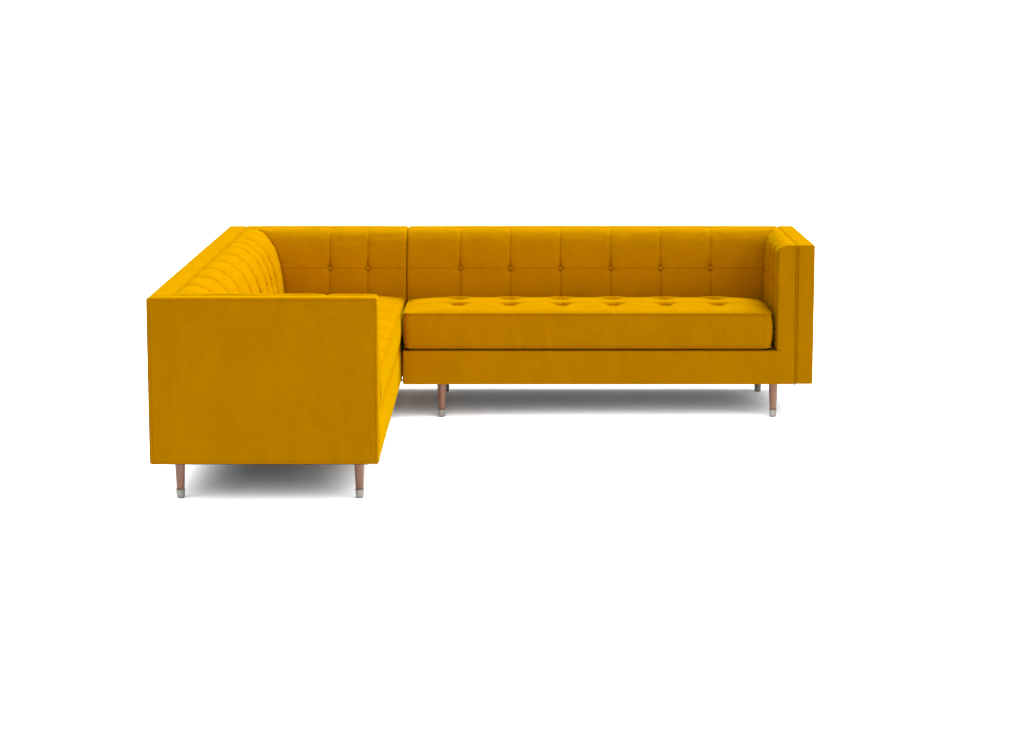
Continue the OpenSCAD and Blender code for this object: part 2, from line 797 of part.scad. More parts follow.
module corner_seat_cover() {
  color(velvet) corner_seat_place()
    cushion_cover(corner_seat_len, corner_seat_dep, corner_seat_tufts);
}
module corner_seat_foam() {
  color(foam_yellow) corner_seat_place()
    cushion_solid(corner_seat_len, corner_seat_dep, corner_seat_tufts, cover_t + fit);
}
module corner_seat_welts() {
  color(velvet_dark) corner_seat_place() cushion_welts(corner_seat_len, corner_seat_dep);
}
module corner_seat_buttons() {
  color(velvet) corner_seat_place() cushion_buttons(corner_seat_tufts, corner_seat_dep);
}
module corner_seat_zip() {
  color(cloth_black) corner_seat_place() zip_chain(corner_seat_len, corner_seat_dep);
}
module corner_zip_slider() {
  color(steel) corner_seat_place() zip_slider(corner_seat_len, corner_seat_dep);
}
module bench_seat_cover() {
  color(velvet) bench_seat_place()
    cushion_cover(bench_seat_len, bench_seat_dep, bench_seat_tufts);
}
module bench_seat_foam() {
  color(foam_yellow) bench_seat_place()
    cushion_solid(bench_seat_len, bench_seat_dep, bench_seat_tufts, cover_t + fit);
}
module bench_seat_welts() {
  color(velvet_dark) bench_seat_place() cushion_welts(bench_seat_len, bench_seat_dep);
}
module bench_seat_buttons() {
  color(velvet) bench_seat_place() cushion_buttons(bench_seat_tufts, bench_seat_dep);
}
module bench_seat_zip() {
  color(cloth_black) bench_seat_place() zip_chain(bench_seat_len, bench_seat_dep);
}
module bench_zip_slider() {
  color(steel) bench_seat_place() zip_slider(bench_seat_len, bench_seat_dep);
}

corner_base_frame();
corner_upper_frame();
corner_springs();
corner_spring_clips();
corner_webbing();
corner_deck();
corner_dust_cover();
corner_base_cover();
corner_long_back_cover();
corner_return_back_cover();
corner_arm_cover();
corner_long_back_foam();
corner_long_back_pad();
corner_return_back_foam();
corner_return_back_pad();
corner_arm_foam();
corner_arm_pad();
corner_buttons();
corner_welts();
corner_legs();
corner_ferrules();
corner_glides();
corner_leg_bolts();
corner_tee_nuts();
connector_jaws();
corner_seat_cover();
corner_seat_foam();
corner_seat_welts();
corner_seat_buttons();
corner_seat_zip();
corner_zip_slider();
bench_base_frame();
bench_upper_frame();
bench_springs();
bench_spring_clips();
bench_webbing();
bench_deck();
bench_dust_cover();
bench_base_cover();
bench_back_cover();
bench_arm_cover();
bench_back_foam();
bench_back_pad();
bench_arm_foam();
bench_arm_pad();
bench_buttons();
bench_welts();
bench_legs();
bench_ferrules();
bench_glides();
bench_leg_bolts();
bench_tee_nuts();
connector_tongues();
bench_seat_cover();
bench_seat_foam();
bench_seat_welts();
bench_seat_buttons();
bench_seat_zip();
bench_zip_slider();
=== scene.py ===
# %% [markdown]
# # A tufted corner sofa in two units
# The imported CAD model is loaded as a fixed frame. Every visible piece is then made around it in
# mesh code, takes its size and place from the CAD solid it stands for, and rides on that
# solid's body. Lengths are metres: X to the right, Y to the back, Z up from the floor.

# %% Load the fixed frame
import math

import bpy
import numpy as np
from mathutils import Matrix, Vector


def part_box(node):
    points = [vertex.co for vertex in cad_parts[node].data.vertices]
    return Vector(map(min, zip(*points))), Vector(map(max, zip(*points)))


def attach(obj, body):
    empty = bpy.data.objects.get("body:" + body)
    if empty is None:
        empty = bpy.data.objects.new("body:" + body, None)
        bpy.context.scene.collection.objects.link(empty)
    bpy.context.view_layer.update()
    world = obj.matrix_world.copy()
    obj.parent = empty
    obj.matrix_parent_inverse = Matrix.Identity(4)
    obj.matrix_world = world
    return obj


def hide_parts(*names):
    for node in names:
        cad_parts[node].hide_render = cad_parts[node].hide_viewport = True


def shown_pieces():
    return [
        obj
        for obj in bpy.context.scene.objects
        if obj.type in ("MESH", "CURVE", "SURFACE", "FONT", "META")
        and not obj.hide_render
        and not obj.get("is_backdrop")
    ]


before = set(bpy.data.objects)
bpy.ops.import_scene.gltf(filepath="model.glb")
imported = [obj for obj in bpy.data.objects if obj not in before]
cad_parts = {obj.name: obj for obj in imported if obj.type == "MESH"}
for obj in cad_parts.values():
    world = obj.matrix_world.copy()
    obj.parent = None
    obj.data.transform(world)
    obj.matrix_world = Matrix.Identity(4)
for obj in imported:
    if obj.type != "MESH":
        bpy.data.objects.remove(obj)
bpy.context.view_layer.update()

MM = 0.001
print("CAD nodes:", len(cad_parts))

# %% [markdown]
# Colours are written as sRGB hex, as a dye chart gives them, and turned to linear light once,
# here. One small function adds a shader node with its settings, socket values and links, so
# that each material below reads as a recipe.

# %% Colour and node helpers


def dye(code):
    channels = [int(code[i:i + 2], 16) / 255 for i in (1, 3, 5)]
    return tuple(c / 12.92 if c <= 0.04045 else ((c + 0.055) / 1.055) ** 2.4
                 for c in channels) + (1.0,)


def add(tree, kind, values=None, links=None, **settings):
    made = tree.nodes.new(kind)
    for key, value in settings.items():
        setattr(made, key, value)
    for socket, value in (values or {}).items():
        made.inputs[socket].default_value = value
    for socket, source in (links or {}).items():
        tree.links.new(source, made.inputs[socket])
    return made


def new_material(name):
    material = bpy.data.materials.new(name)
    material.use_nodes = True
    material.node_tree.nodes.clear()
    return material, material.node_tree


def finish_material(tree, shader):
    add(tree, "ShaderNodeOutputMaterial", links={"Surface": shader.outputs[0]})


# %% [markdown]
# ## Velvet
# The cover is a short-pile cotton velvet, woven and then sheared. Its pile stands a little
# under 2 mm and lies in brushed patches, so the eye sees a fine speckle, slow cloudy changes
# of tone, and a lighter bloom where the surface turns away: that bloom is the sheen. The pile
# is too fine to show, so the speckle is drawn at 4 mm, and the cloudy nap at 60 to 200 mm.

# %% Velvet materials
PILE = 4.0 * MM
NAP = 90.0 * MM


def velvet(name, deep, light, sheen, bump):
    material, tree = new_material(name)
    place = add(tree, "ShaderNodeTexCoord").outputs["Object"]
    pile = add(tree, "ShaderNodeTexNoise", {"Scale": 1 / PILE, "Detail": 4.0, "Roughness": 0.8},
               {"Vector": place})
    brushed = add(tree, "ShaderNodeMapping", {"Scale": (1.0, 1.0, 0.45)}, {"Vector": place})
    nap = add(tree, "ShaderNodeTexNoise", {"Scale": 1 / NAP, "Detail": 4.0, "Roughness": 0.6,
                                           "Distortion": 0.6},
              {"Vector": brushed.outputs[0]})
    grain = add(tree, "ShaderNodeMapRange", {"From Min": 0.33, "From Max": 0.67,
                                             "To Max": 0.75}, {"Value": pile.outputs["Fac"]})
    cloud = add(tree, "ShaderNodeMapRange", {"From Min": 0.3, "From Max": 0.7,
                                             "To Max": 0.25}, {"Value": nap.outputs["Fac"]})
    tone = add(tree, "ShaderNodeMath", None, {0: grain.outputs[0], 1: cloud.outputs[0]},
               operation="ADD")
    colour = add(tree, "ShaderNodeMix", {6: dye(deep), 7: dye(light)},
                 {0: tone.outputs[0]}, data_type="RGBA")
    rough = add(tree, "ShaderNodeMapRange", {"To Min": 0.78, "To Max": 0.95},
                {"Value": nap.outputs["Fac"]})
    fine = add(tree, "ShaderNodeTexNoise", {"Scale": 2.5 / PILE, "Detail": 2.0},
               {"Vector": place})
    relief = add(tree, "ShaderNodeBump", {"Strength": bump, "Distance": 1.2 * MM},
                 {"Height": fine.outputs["Fac"]})
    shader = add(tree, "ShaderNodeBsdfPrincipled",
                 {"Specular IOR Level": 0.0, "Sheen Weight": sheen, "Sheen Roughness": 0.4,
                  "Sheen Tint": dye("#ffd400"), "IOR": 1.46},
                 {"Base Color": colour.outputs[2], "Roughness": rough.outputs[0],
                  "Normal": relief.outputs[0]})
    finish_material(tree, shader)
    return material


cotton_velvet = velvet("cotton_velvet_sheared", "#a76f00", "#cd8b00", 0.28, 0.6)
welt_velvet = velvet("cotton_velvet_on_cord", "#a87100", "#c48500", 0.26, 0.4)
button_velvet = velvet("cotton_velvet_on_button", "#a87100", "#c48500", 0.26, 0.4)
print("velvets:", cotton_velvet.name, welt_velvet.name, button_velvet.name)

# %% [markdown]
# ## Wood, metal and plastic of the legs
# The legs are turned beech under a clear matt lacquer: long fine pores run down the leg, with
# slow bands of growth. The ferrule is turned brass under brushed nickel: fine rings round its
# axis. The glide is nylon, moulded, with a faint grain.

# %% Leg materials


def turned_wood(name, deep, light, pore, band):
    material, tree = new_material(name)
    place = add(tree, "ShaderNodeTexCoord").outputs["Object"]
    along = add(tree, "ShaderNodeMapping", {"Scale": (1.0, 1.0, 0.05)}, {"Vector": place})
    pores = add(tree, "ShaderNodeTexNoise", {"Scale": 1 / pore, "Detail": 5.0,
                                             "Roughness": 0.65},
                {"Vector": along.outputs[0]})
    bands = add(tree, "ShaderNodeTexNoise", {"Scale": 1 / band, "Detail": 2.0,
                                             "Distortion": 1.2},
                {"Vector": along.outputs[0]})
    both = add(tree, "ShaderNodeMath", {1: 0.5}, {0: pores.outputs["Fac"],
                                                  2: bands.outputs["Fac"]},
               operation="MULTIPLY_ADD")
    tone = add(tree, "ShaderNodeMapRange", {"From Min": 0.45, "From Max": 1.05},
               {"Value": both.outputs[0]})
    colour = add(tree, "ShaderNodeMix", {6: dye(deep), 7: dye(light)},
                 {0: tone.outputs[0]}, data_type="RGBA")
    relief = add(tree, "ShaderNodeBump", {"Strength": 0.25, "Distance": 0.2 * MM},
                 {"Height": pores.outputs["Fac"]})
    shader = add(tree, "ShaderNodeBsdfPrincipled",
                 {"Roughness": 0.42, "IOR": 1.5, "Coat Weight": 0.15, "Coat Roughness": 0.35},
                 {"Base Color": colour.outputs[2], "Normal": relief.outputs[0]})
    finish_material(tree, shader)
    return material


def turned_metal(name, colour, roughness, ring):
    material, tree = new_material(name)
    place = add(tree, "ShaderNodeTexCoord").outputs["Object"]
    rings = add(tree, "ShaderNodeMapping", {"Scale": (0.02, 0.02, 1.0)}, {"Vector": place})
    lathe = add(tree, "ShaderNodeTexNoise", {"Scale": 1 / ring, "Detail": 2.0},
                {"Vector": rings.outputs[0]})
    rough = add(tree, "ShaderNodeMapRange", {"To Min": roughness - 0.08,
                                             "To Max": roughness + 0.12},
                {"Value": lathe.outputs["Fac"]})
    relief = add(tree, "ShaderNodeBump", {"Strength": 0.15, "Distance": 0.1 * MM},
                 {"Height": lathe.outputs["Fac"]})
    shader = add(tree, "ShaderNodeBsdfPrincipled",
                 {"Base Color": dye(colour), "Metallic": 1.0},
                 {"Roughness": rough.outputs[0], "Normal": relief.outputs[0]})
    finish_material(tree, shader)
    return material


def mottled(name, deep, light, grain, roughness, ior=1.5, bump=0.2):
    material, tree = new_material(name)
    place = add(tree, "ShaderNodeTexCoord").outputs["Object"]
    speck = add(tree, "ShaderNodeTexNoise", {"Scale": 1 / grain, "Detail": 3.0},
                {"Vector": place})
    colour = add(tree, "ShaderNodeMix", {6: dye(deep), 7: dye(light)},
                 {0: speck.outputs["Fac"]}, data_type="RGBA")
    relief = add(tree, "ShaderNodeBump", {"Strength": bump, "Distance": 0.3 * MM},
                 {"Height": speck.outputs["Fac"]})
    shader = add(tree, "ShaderNodeBsdfPrincipled", {"Roughness": roughness, "IOR": ior},
                 {"Base Color": colour.outputs[2], "Normal": relief.outputs[0]})
    finish_material(tree, shader)
    return material


beech = turned_wood("beech_turned_lacquered", "#6a4029", "#93603d", 2.5 * MM, 14 * MM)
pine = turned_wood("pine_sawn", "#c9a46c", "#e6cb98", 2.0 * MM, 20 * MM)
nickel = turned_metal("nickel_brushed_on_brass", "#82807b", 0.36, 0.5 * MM)
zinc = turned_metal("steel_zinc_plated", "#b4b6b8", 0.45, 1.5 * MM)
spring_wire = turned_metal("spring_steel_drawn", "#8b8b88", 0.4, 2.0 * MM)
nylon = mottled("nylon_moulded", "#74604f", "#8a7562", 1.0 * MM, 0.55, 1.53)
foam_open = mottled("polyurethane_foam_cut", "#e6d9a6", "#f5ecc6", 1.5 * MM, 0.95, bump=0.8)
jute = mottled("webbing_woven", "#2b2c30", "#3b3c40", 1.2 * MM, 0.9, bump=0.7)
dust_cloth = mottled("dust_cloth_spunbond", "#1d1e20", "#2c2d30", 1.5 * MM, 0.92, bump=0.5)
deck_cloth = mottled("deck_cloth_cotton", "#a87b12", "#bd8d1c", 1.2 * MM, 0.92, bump=0.5)
zip_tape = mottled("zip_tape_woven", "#9a6c08", "#b07e10", 0.8 * MM, 0.85, bump=0.5)
zip_metal = turned_metal("zip_alloy_cast", "#9b9184", 0.42, 0.8 * MM)
print("materials:", len(bpy.data.materials))

# %% [markdown]
# ## Runs
# Each back and arm is an upholstered frame with its own pad, and all five are built alike. A
# run keeps its own axes: X along its length, Y from its outer face inwards, Z up. A piece is
# made in run axes and placed once, so that one recipe serves all the runs. Two of the runs are
# mirror images, and their faces are turned over to keep the outside out.

# %% Run axes


def cad(node):
    low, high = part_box(node)
    return np.array(low), np.array(high)


def run_axes(origin, along, inward):
    axes = np.array([along, inward, (0, 0, 1)], float)
    return {"origin": np.array(origin, float), "axes": axes,
            "mirrored": np.linalg.det(axes) < 0}


def to_world(run, points):
    return run["origin"] + points @ run["axes"]


def to_run(run, points):
    return (points - run["origin"]) @ run["axes"].T


arm_low, arm_high = cad("corner_arm_cover")
long_low, long_high = cad("corner_long_back_cover")
bench_low, bench_high = cad("bench_arm_cover")
bench_back_low = cad("bench_back_cover")[0]
LEFT, FRONT, BACK = long_low[0], arm_low[1], long_high[1]
LEG_TOP, CREST = arm_low[2], arm_high[2]
DECK = cad("corner_deck")[1][2]
BACK_SHELL = long_high[0] - long_low[0]
ARM_SHELL = arm_high[1] - arm_low[1]

runs = {
    "long_back": run_axes((LEFT, FRONT, 0), (0, 1, 0), (1, 0, 0)),
    "near_arm": run_axes((LEFT, FRONT, 0), (1, 0, 0), (0, 1, 0)),
    "return_back": run_axes((arm_high[0], BACK, 0), (-1, 0, 0), (0, -1, 0)),
    "bench_back": run_axes((bench_back_low[0], BACK, 0), (1, 0, 0), (0, -1, 0)),
    "bench_arm": run_axes((bench_high[0], bench_low[1], 0), (0, 1, 0), (-1, 0, 0)),
    "corner_seat": run_axes((0, 0, 0), (0, 1, 0), (-1, 0, 0)),
    "bench_seat": run_axes((0, 0, 0), (1, 0, 0), (0, 1, 0)),
    "world": run_axes((0, 0, 0), (1, 0, 0), (0, 1, 0)),
}


def run_box(run, node):
    low, high = cad(node)
    ends = to_run(runs[run], np.array([low, high]))
    return ends.min(0), ends.max(0)


print("runs:", ", ".join(runs), "shells", round(BACK_SHELL, 4), round(ARM_SHELL, 4))

# %% [markdown]
# ## Making a piece
# A mesh goes in as arrays of points and quads. The piece is shaded smooth, takes one material,
# rides on its body and hides the CAD nodes it stands for.

# %% Piece maker


def quads_between(numbers, closed=False):
    if closed:
        numbers = np.concatenate([numbers, numbers[:, :1]], 1)
    return np.stack([numbers[:-1, :-1], numbers[1:, :-1], numbers[1:, 1:], numbers[:-1, 1:]],
                    -1).reshape(-1, 4)


def piece(name, run, points, faces, body, material, replaced):
    where = runs[run]
    if where["mirrored"]:
        faces = [list(f)[::-1] for f in faces]
    mesh = bpy.data.meshes.new(name)
    mesh.from_pydata(to_world(where, np.asarray(points)).tolist(), [],
                     [[int(i) for i in f] for f in faces])
    mesh.validate()
    mesh.shade_smooth()
    mesh.materials.append(material)
    made = bpy.data.objects.new(name, mesh)
    bpy.context.scene.collection.objects.link(made)
    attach(made, body)
    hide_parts(*replaced)
    print(f"{name}: {len(mesh.vertices)} points, {len(mesh.polygons)} faces")
    return made


# %% [markdown]
# ## Grid lines
# A sewn surface needs close grid lines at its seams and edges and few elsewhere. The lines of
# an axis are a plain spacing, with a rounding's worth of lines at each end and a fan of close
# lines at each seam. Lines that fall nearly on each other are merged.

# %% Grid lines
SEAM_FAN = np.array([0.0, 1.3, 2.8, 5.0, 8.0, 12.5, 19.0, 28.0]) * MM
LEAST_GAP = 0.6 * MM


def merged(lines):
    lines = np.sort(np.asarray(lines))
    kept = [lines[0]]
    for line in lines[1:-1]:
        if line - kept[-1] > LEAST_GAP and lines[-1] - line > LEAST_GAP:
            kept.append(line)
    return np.array(kept + [lines[-1]])


def fanned(low, high, step, seams):
    plain = np.linspace(low, high, max(2, round((high - low) / step) + 1))
    fans = np.concatenate([[s + d, s - d] for s in seams for d in SEAM_FAN]) if len(seams) \
        else np.array([])
    near = np.array([np.min(np.abs(p - np.asarray(seams))) if len(seams) else 1.0
                     for p in plain])
    plain = plain[(near > SEAM_FAN[-1] + 0.4 * step) | (plain == low) | (plain == high)]
    fans = fans[(fans > low) & (fans < high)]
    return merged(np.concatenate([plain, fans]))


def edged(low, high, radius, step, seams=()):
    turn = radius * (1 - np.tan(np.radians([45, 36, 27, 18, 9])))
    middle = fanned(low + radius, high - radius, step, seams)
    return np.concatenate([low + turn, middle, (high - turn)[::-1]])


print("seam fan mm:", (SEAM_FAN / MM).round(1).tolist())


# %% [markdown]
# ## Soft boxes
# A box of foam and cloth is a grid over six sides. Points are pushed out from a smaller core
# box, which rounds every edge and corner by one radius, as wadding under a cover does. A side
# left out makes an open cover, which a Solidify modifier then gives its cloth thickness.

# %% Soft box


def box_grid(xs, ys, zs):
    shape = (len(xs), len(ys), len(zs))
    places = np.indices(shape).reshape(3, -1)
    last = np.array(shape)[:, None] - 1
    skin = ((places == 0) | (places == last)).any(0)
    number = np.full(shape, -1)
    number.reshape(-1)[skin] = np.arange(skin.sum())
    points = np.stack([xs[places[0]], ys[places[1]], zs[places[2]]], 1)[skin]
    faces = []
    for axis in range(3):
        for side in (0, -1):
            quads = quads_between(np.take(number, side, axis))
            if (side == 0) != (axis == 1):
                quads = quads[:, ::-1]
            faces.append(quads)
    return points, np.concatenate(faces)


def rounded(points, low, high, radius):
    core = np.clip(points, low + radius, high - radius)
    out = points - core
    length = np.linalg.norm(out, axis=1, keepdims=True)
    return core + out * radius / np.maximum(length, 1e-9)


def swell(points, low, high, amount):
    """Pushes each side out a little in its middle, as cloth over wadding stands."""
    share = (points - low) / (high - low)
    hump = np.clip(4 * share * (1 - share), 0, 1) ** 0.35
    out = np.zeros_like(points)
    for axis in range(3):
        others = [a for a in range(3) if a != axis]
        lift = amount * hump[:, others[0]] * hump[:, others[1]]
        out[:, axis] = np.where(share[:, axis] < 1e-4, -lift,
                                np.where(share[:, axis] > 1 - 1e-4, lift, 0))
    return out


def used_only(points, faces):
    used = np.unique(faces)
    number = np.full(len(points), -1)
    number[used] = np.arange(len(used))
    return points[used], number[faces]


def apply_modifiers(made):
    bpy.context.view_layer.update()
    graph = bpy.context.evaluated_depsgraph_get()
    mesh = bpy.data.meshes.new_from_object(made.evaluated_get(graph))
    made.modifiers.clear()
    old = made.data
    made.data = mesh
    bpy.data.meshes.remove(old)


CLOTH = 3.0 * MM


def give_thickness(made, thickness):
    thicken = made.modifiers.new("cloth_thickness", "SOLIDIFY")
    thicken.thickness = thickness
    thicken.offset = -1.0
    apply_modifiers(made)
    made.data.shade_smooth()


print("cloth thickness mm:", CLOTH / MM)


# %% [markdown]
# ## Outer covers of backs and arms
# Each back and arm is a slim box of timber under thin wadding and velvet. Its cover is sewn
# from flat panels, so its edges are tight, with about 8 mm of rounding, its panels stand
# under 2 mm proud in the middle, and a seam runs along each panel, just in from its edge.
# Below the deck the cover has no inner side, since the base frame passes there, except close
# to its ends, and its bottom is open round the dust cloth.

# %% Outer covers
EDGE = 8.0 * MM
PANEL_SEAM = 10.5 * MM
CLOSED_END = 40 * MM


def creased(distance, width, depth, roll_width, roll_depth):
    """A stitched channel: a narrow crease inside a broad soft roll."""
    return -depth * np.exp(-(distance / width) ** 2) - roll_depth * np.exp(
        -np.abs(distance) / roll_width)


def shell(name, run, node, body, reach=0.0):
    low, high = run_box(run, node)
    low[0] -= reach
    lines = [edged(low[a], high[a], EDGE, 22 * MM,
                   (low[a] + PANEL_SEAM, high[a] - PANEL_SEAM) if a != 1 else ())
             for a in range(3)]
    points, faces = box_grid(*lines)
    push = swell(points, low, high, 1.6 * MM)
    to_edge = np.minimum(points - low, high - points)
    beside = np.minimum(to_edge[:, 0], to_edge[:, 2]) - PANEL_SEAM
    outer = points[:, 1] < low[1] + 1e-6
    push[:, 1] -= np.where(outer, creased(beside, 1.5 * MM, 1.8 * MM, 6 * MM, 0.6 * MM), 0)
    middles = points[faces].mean(1)
    bottom = (points[faces][:, :, 2] <= low[2] + 1e-6).all(1)
    from_end = np.minimum(middles[:, 0] - low[0], high[0] - middles[:, 0])
    inner = (points[faces][:, :, 1] >= high[1] - 1e-6).all(1) & (middles[:, 2] < DECK)
    inner &= from_end > CLOSED_END
    points = rounded(points, low, high, EDGE) + push
    points, faces = used_only(points, faces[~(bottom | inner)])
    made = piece(name, run, points, faces, body, cotton_velvet, [node])
    give_thickness(made, CLOTH)
    return made


for name, run, body, reach in (("corner_long_back", "long_back", "corner_unit", 0),
                               ("corner_return_back", "return_back", "corner_unit", 3.8 * MM),
                               ("corner_arm", "near_arm", "corner_unit", 0),
                               ("bench_back", "bench_back", "bench_unit", 3.8 * MM),
                               ("bench_arm", "bench_arm", "bench_unit", 0)):
    shell(name + "_outer_cover", run, name + "_cover", body, reach)

# %% [markdown]
# ## Sweeps and turnings
# Cords, rail covers and turned parts all come from one sweep: a closed section is carried
# along a path, and its ends are closed. A turned part is a profile taken round an axis.

# %% Sweep and lathe
CORD_SIDES = 12


def closed_tube(rings, flat_ends=False):
    """Joins rings of equal length; an end is one flat face, or a fan on its middle point."""
    count, around = rings.shape[:2]
    points = rings.reshape(-1, 3)
    numbers = np.arange(count * around).reshape(count, around)
    faces = quads_between(numbers, closed=True).tolist()
    if flat_ends:
        return points, faces + [numbers[0].tolist(), numbers[-1, ::-1].tolist()]
    ends = np.array([rings[0].mean(0), rings[-1].mean(0)])
    first, last = len(points), len(points) + 1
    for i in range(around):
        j = (i + 1) % around
        faces.append([numbers[0, i], numbers[0, j], first])
        faces.append([numbers[-1, j], numbers[-1, i], last])
    return np.concatenate([points, ends]), faces


def lathe(profile, around):
    """Turns (radius, height) pairs round Z; the first and last radius close the form."""
    angles = np.linspace(0, 2 * np.pi, around, endpoint=False)
    profile = np.asarray(profile, float)
    rings = np.stack([np.outer(profile[:, 0], np.cos(angles)),
                      np.outer(profile[:, 0], np.sin(angles)),
                      np.repeat(profile[:, 1:], around, 1)], -1)
    return closed_tube(rings[:, ::-1])


def cord_along(path, radius, closed=False):
    """A round cord along a line of points, with rounded ends when it is open."""
    path = np.asarray(path, float)
    if closed:
        ahead = np.roll(path, -1, 0) - np.roll(path, 1, 0)
    else:
        ahead = np.gradient(path, axis=0)
    ahead /= np.linalg.norm(ahead, axis=1, keepdims=True)
    side = np.cross(ahead[0], (0.0, 0.0, 1.0))
    if np.linalg.norm(side) < 0.1:
        side = np.cross(ahead[0], (1.0, 0.0, 0.0))
    rings = []
    for at, forward in zip(path, ahead):
        side = side - forward * np.dot(side, forward)
        side /= np.linalg.norm(side)
        up = np.cross(side, forward)
        angle = np.linspace(0, 2 * np.pi, CORD_SIDES, endpoint=False)[:, None]
        rings.append(at + radius * (np.cos(angle) * side + np.sin(angle) * up))
    rings = np.array(rings)
    if closed:
        numbers = np.arange(rings.shape[0] * CORD_SIDES).reshape(-1, CORD_SIDES)
        numbers = np.concatenate([numbers, numbers[:1]])
        return rings.reshape(-1, 3), quads_between(numbers, closed=True)[:, ::-1].tolist()
    for end, sign in ((0, -1), (-1, 1)):
        middle = rings[end].mean(0)
        caps = [middle + (rings[end] - middle) * math.cos(t)
                + sign * ahead[end] * radius * math.sin(t) for t in (0.5, 1.0, 1.35)]
        rings = np.concatenate([caps[::-1], rings] if end == 0 else [rings, caps])
    return closed_tube(rings[:, ::-1])


def joined(parts):
    points, faces, start = [], [], 0
    for part_points, part_faces in parts:
        points.append(part_points)
        faces += [[i + start for i in f] for f in part_faces]
        start += len(part_points)
    return np.concatenate(points), faces


print("sides of a cord:", CORD_SIDES)


# %% [markdown]
# ## Base covers
# The front rail of each unit wears a band of velvet over thin foam, turned over its top onto
# the deck and under its bottom edge, where it is stapled. The bench unit's band also turns the
# corner onto its left side, where the units meet. The band is one sweep of a C-shaped section,
# and its top edge is pulled tight where an arm pad stands on it.

# %% Base covers


def rail_section(low_z, high_z, lip, thick, radius, top_r):
    turn = np.radians(np.linspace(0, 90, 6))
    rise = np.linspace(low_z + radius, high_z - radius, 9)[1:-1]
    belly = 1.4 * MM * np.sin(np.pi * (rise - low_z) / (high_z - low_z))
    outer = [(lip, high_z)]
    outer += [(top_r - top_r * math.sin(t), high_z - top_r + top_r * math.cos(t))
              for t in turn]
    outer += [(-b, z) for b, z in zip(belly[::-1], rise[::-1])]
    outer += [(radius - radius * math.cos(t), low_z + radius - radius * math.sin(t))
              for t in turn]
    outer += [(lip, low_z)]
    inner_r = radius - thick
    inner = [(lip, low_z + thick)]
    inner += [(radius - inner_r * math.sin(t), low_z + radius - inner_r * math.cos(t))
              for t in turn]
    inner_r = top_r - thick
    inner += [(top_r - inner_r * math.cos(t), high_z - top_r + inner_r * math.sin(t))
              for t in turn]
    inner += [(lip, high_z - thick)]
    return np.array(outer + inner)


def swept_band(path, inward, sections):
    rings = np.array([[(p[0] + n[0] * d, p[1] + n[1] * d, z) for d, z in section]
                      for p, n, section in zip(path, inward, sections)])
    return closed_tube(rings, flat_ends=True)


def tightening(distance):
    """The band's section, tight-edged where an arm pad stands on it, soft elsewhere."""
    share = min(1.0, max(0.0, distance / TIGHT_RUN))
    return rail_section(LEG_TOP, DECK, LIP, RAIL_THICK, BAND_TURN,
                        2.4 * MM + (BAND_TURN - 2.4 * MM) * share * share * (3 - 2 * share))


RAIL_THICK = 2.0 * MM
LIP = 38.0 * MM
BAND_TURN = 9.0 * MM
TIGHT_RUN = 30.0 * MM
low, high = cad("corner_base_cover")
pad_end = cad("corner_arm_pad")[1][1]
ys = np.linspace(low[1], high[1], 240)
points, faces = swept_band([(high[0], y) for y in ys], [(-1, 0)] * len(ys),
                           [tightening(y - pad_end) for y in ys])
piece("corner_base_band", "world", points, faces, "corner_unit", cotton_velvet,
      ["corner_base_cover"])

low, high = cad("bench_base_cover")
corner_turn = np.radians(np.linspace(0, 90, 7))
path, inward = [], []
for y in np.linspace(high[1], low[1] + BAND_TURN, 40)[:-1]:
    path.append((low[0], y))
    inward.append((1, 0))
for t in corner_turn:
    path.append((low[0] + BAND_TURN * (1 - math.cos(t)), low[1] + BAND_TURN * (1 - math.sin(t))))
    inward.append((math.cos(t), math.sin(t)))
for x in np.linspace(low[0] + BAND_TURN, high[0], 180)[1:]:
    path.append((x, low[1]))
    inward.append((0, 1))
pad_end = cad("bench_arm_pad")[0][0]
points, faces = swept_band(path, inward, [tightening(pad_end - x) for x, y in path])
piece("bench_base_band", "world", points, faces, "bench_unit", cotton_velvet,
      ["bench_base_cover"])

# %% [markdown]
# ## Where the buttons are
# A tufted pad is drawn in at its buttons, so their places come first. Each button is a group
# of points in the CAD model's button node, and the middle of each group is its place.

# %% Button places
BUTTON_APART = 30 * MM


def middles(node, apart, axes=3):
    """The middle of each group of points in a CAD node, in its first two or three axes."""
    groups = []
    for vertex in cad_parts[node].data.vertices:
        at = np.array(vertex.co)[:axes]
        for group in groups:
            if np.linalg.norm(at - group[0]) < apart:
                group.append(at)
                break
        else:
            groups.append([at])
    return np.array([(np.min(g, 0) + np.max(g, 0)) / 2 for g in groups])


def run_buttons(run, node, pad):
    low, high = run_box(run, pad)
    found = to_run(runs[run], middles(node, BUTTON_APART))
    inside = ((found > low - 20 * MM) & (found < high + 20 * MM)).all(1)
    return found[inside][np.argsort(found[inside][:, 0])]


for node in ("corner_buttons", "bench_buttons"):
    print(node + ":", len(middles(node, BUTTON_APART)))


# %% [markdown]
# ## Back and arm pads
# Each pad is fibre-wrapped foam under one velvet cover, sewn with thin channels and drawn in
# by covered buttons. Its section is deepest at the seat and rolls over to nothing at the
# crest, where it is sewn to the frame cover. The pad could be sculpted or inflated from a box;
# here its skin is a grid of section lines and length lines, because channels, dimples and the
# pleat over each button then have exact places. Points are moved along the skin's own normal.

# %% Pad section
PAD_STEP = 11 * MM
ARM_ROLL = 5


def section_depth(share, depth, power):
    """How deep a pad is at a share of its height: boxy for a high power, rolled for a low."""
    return depth * np.maximum(0, 1 - np.clip(share, 0, 1) ** power) ** (1 / 3)


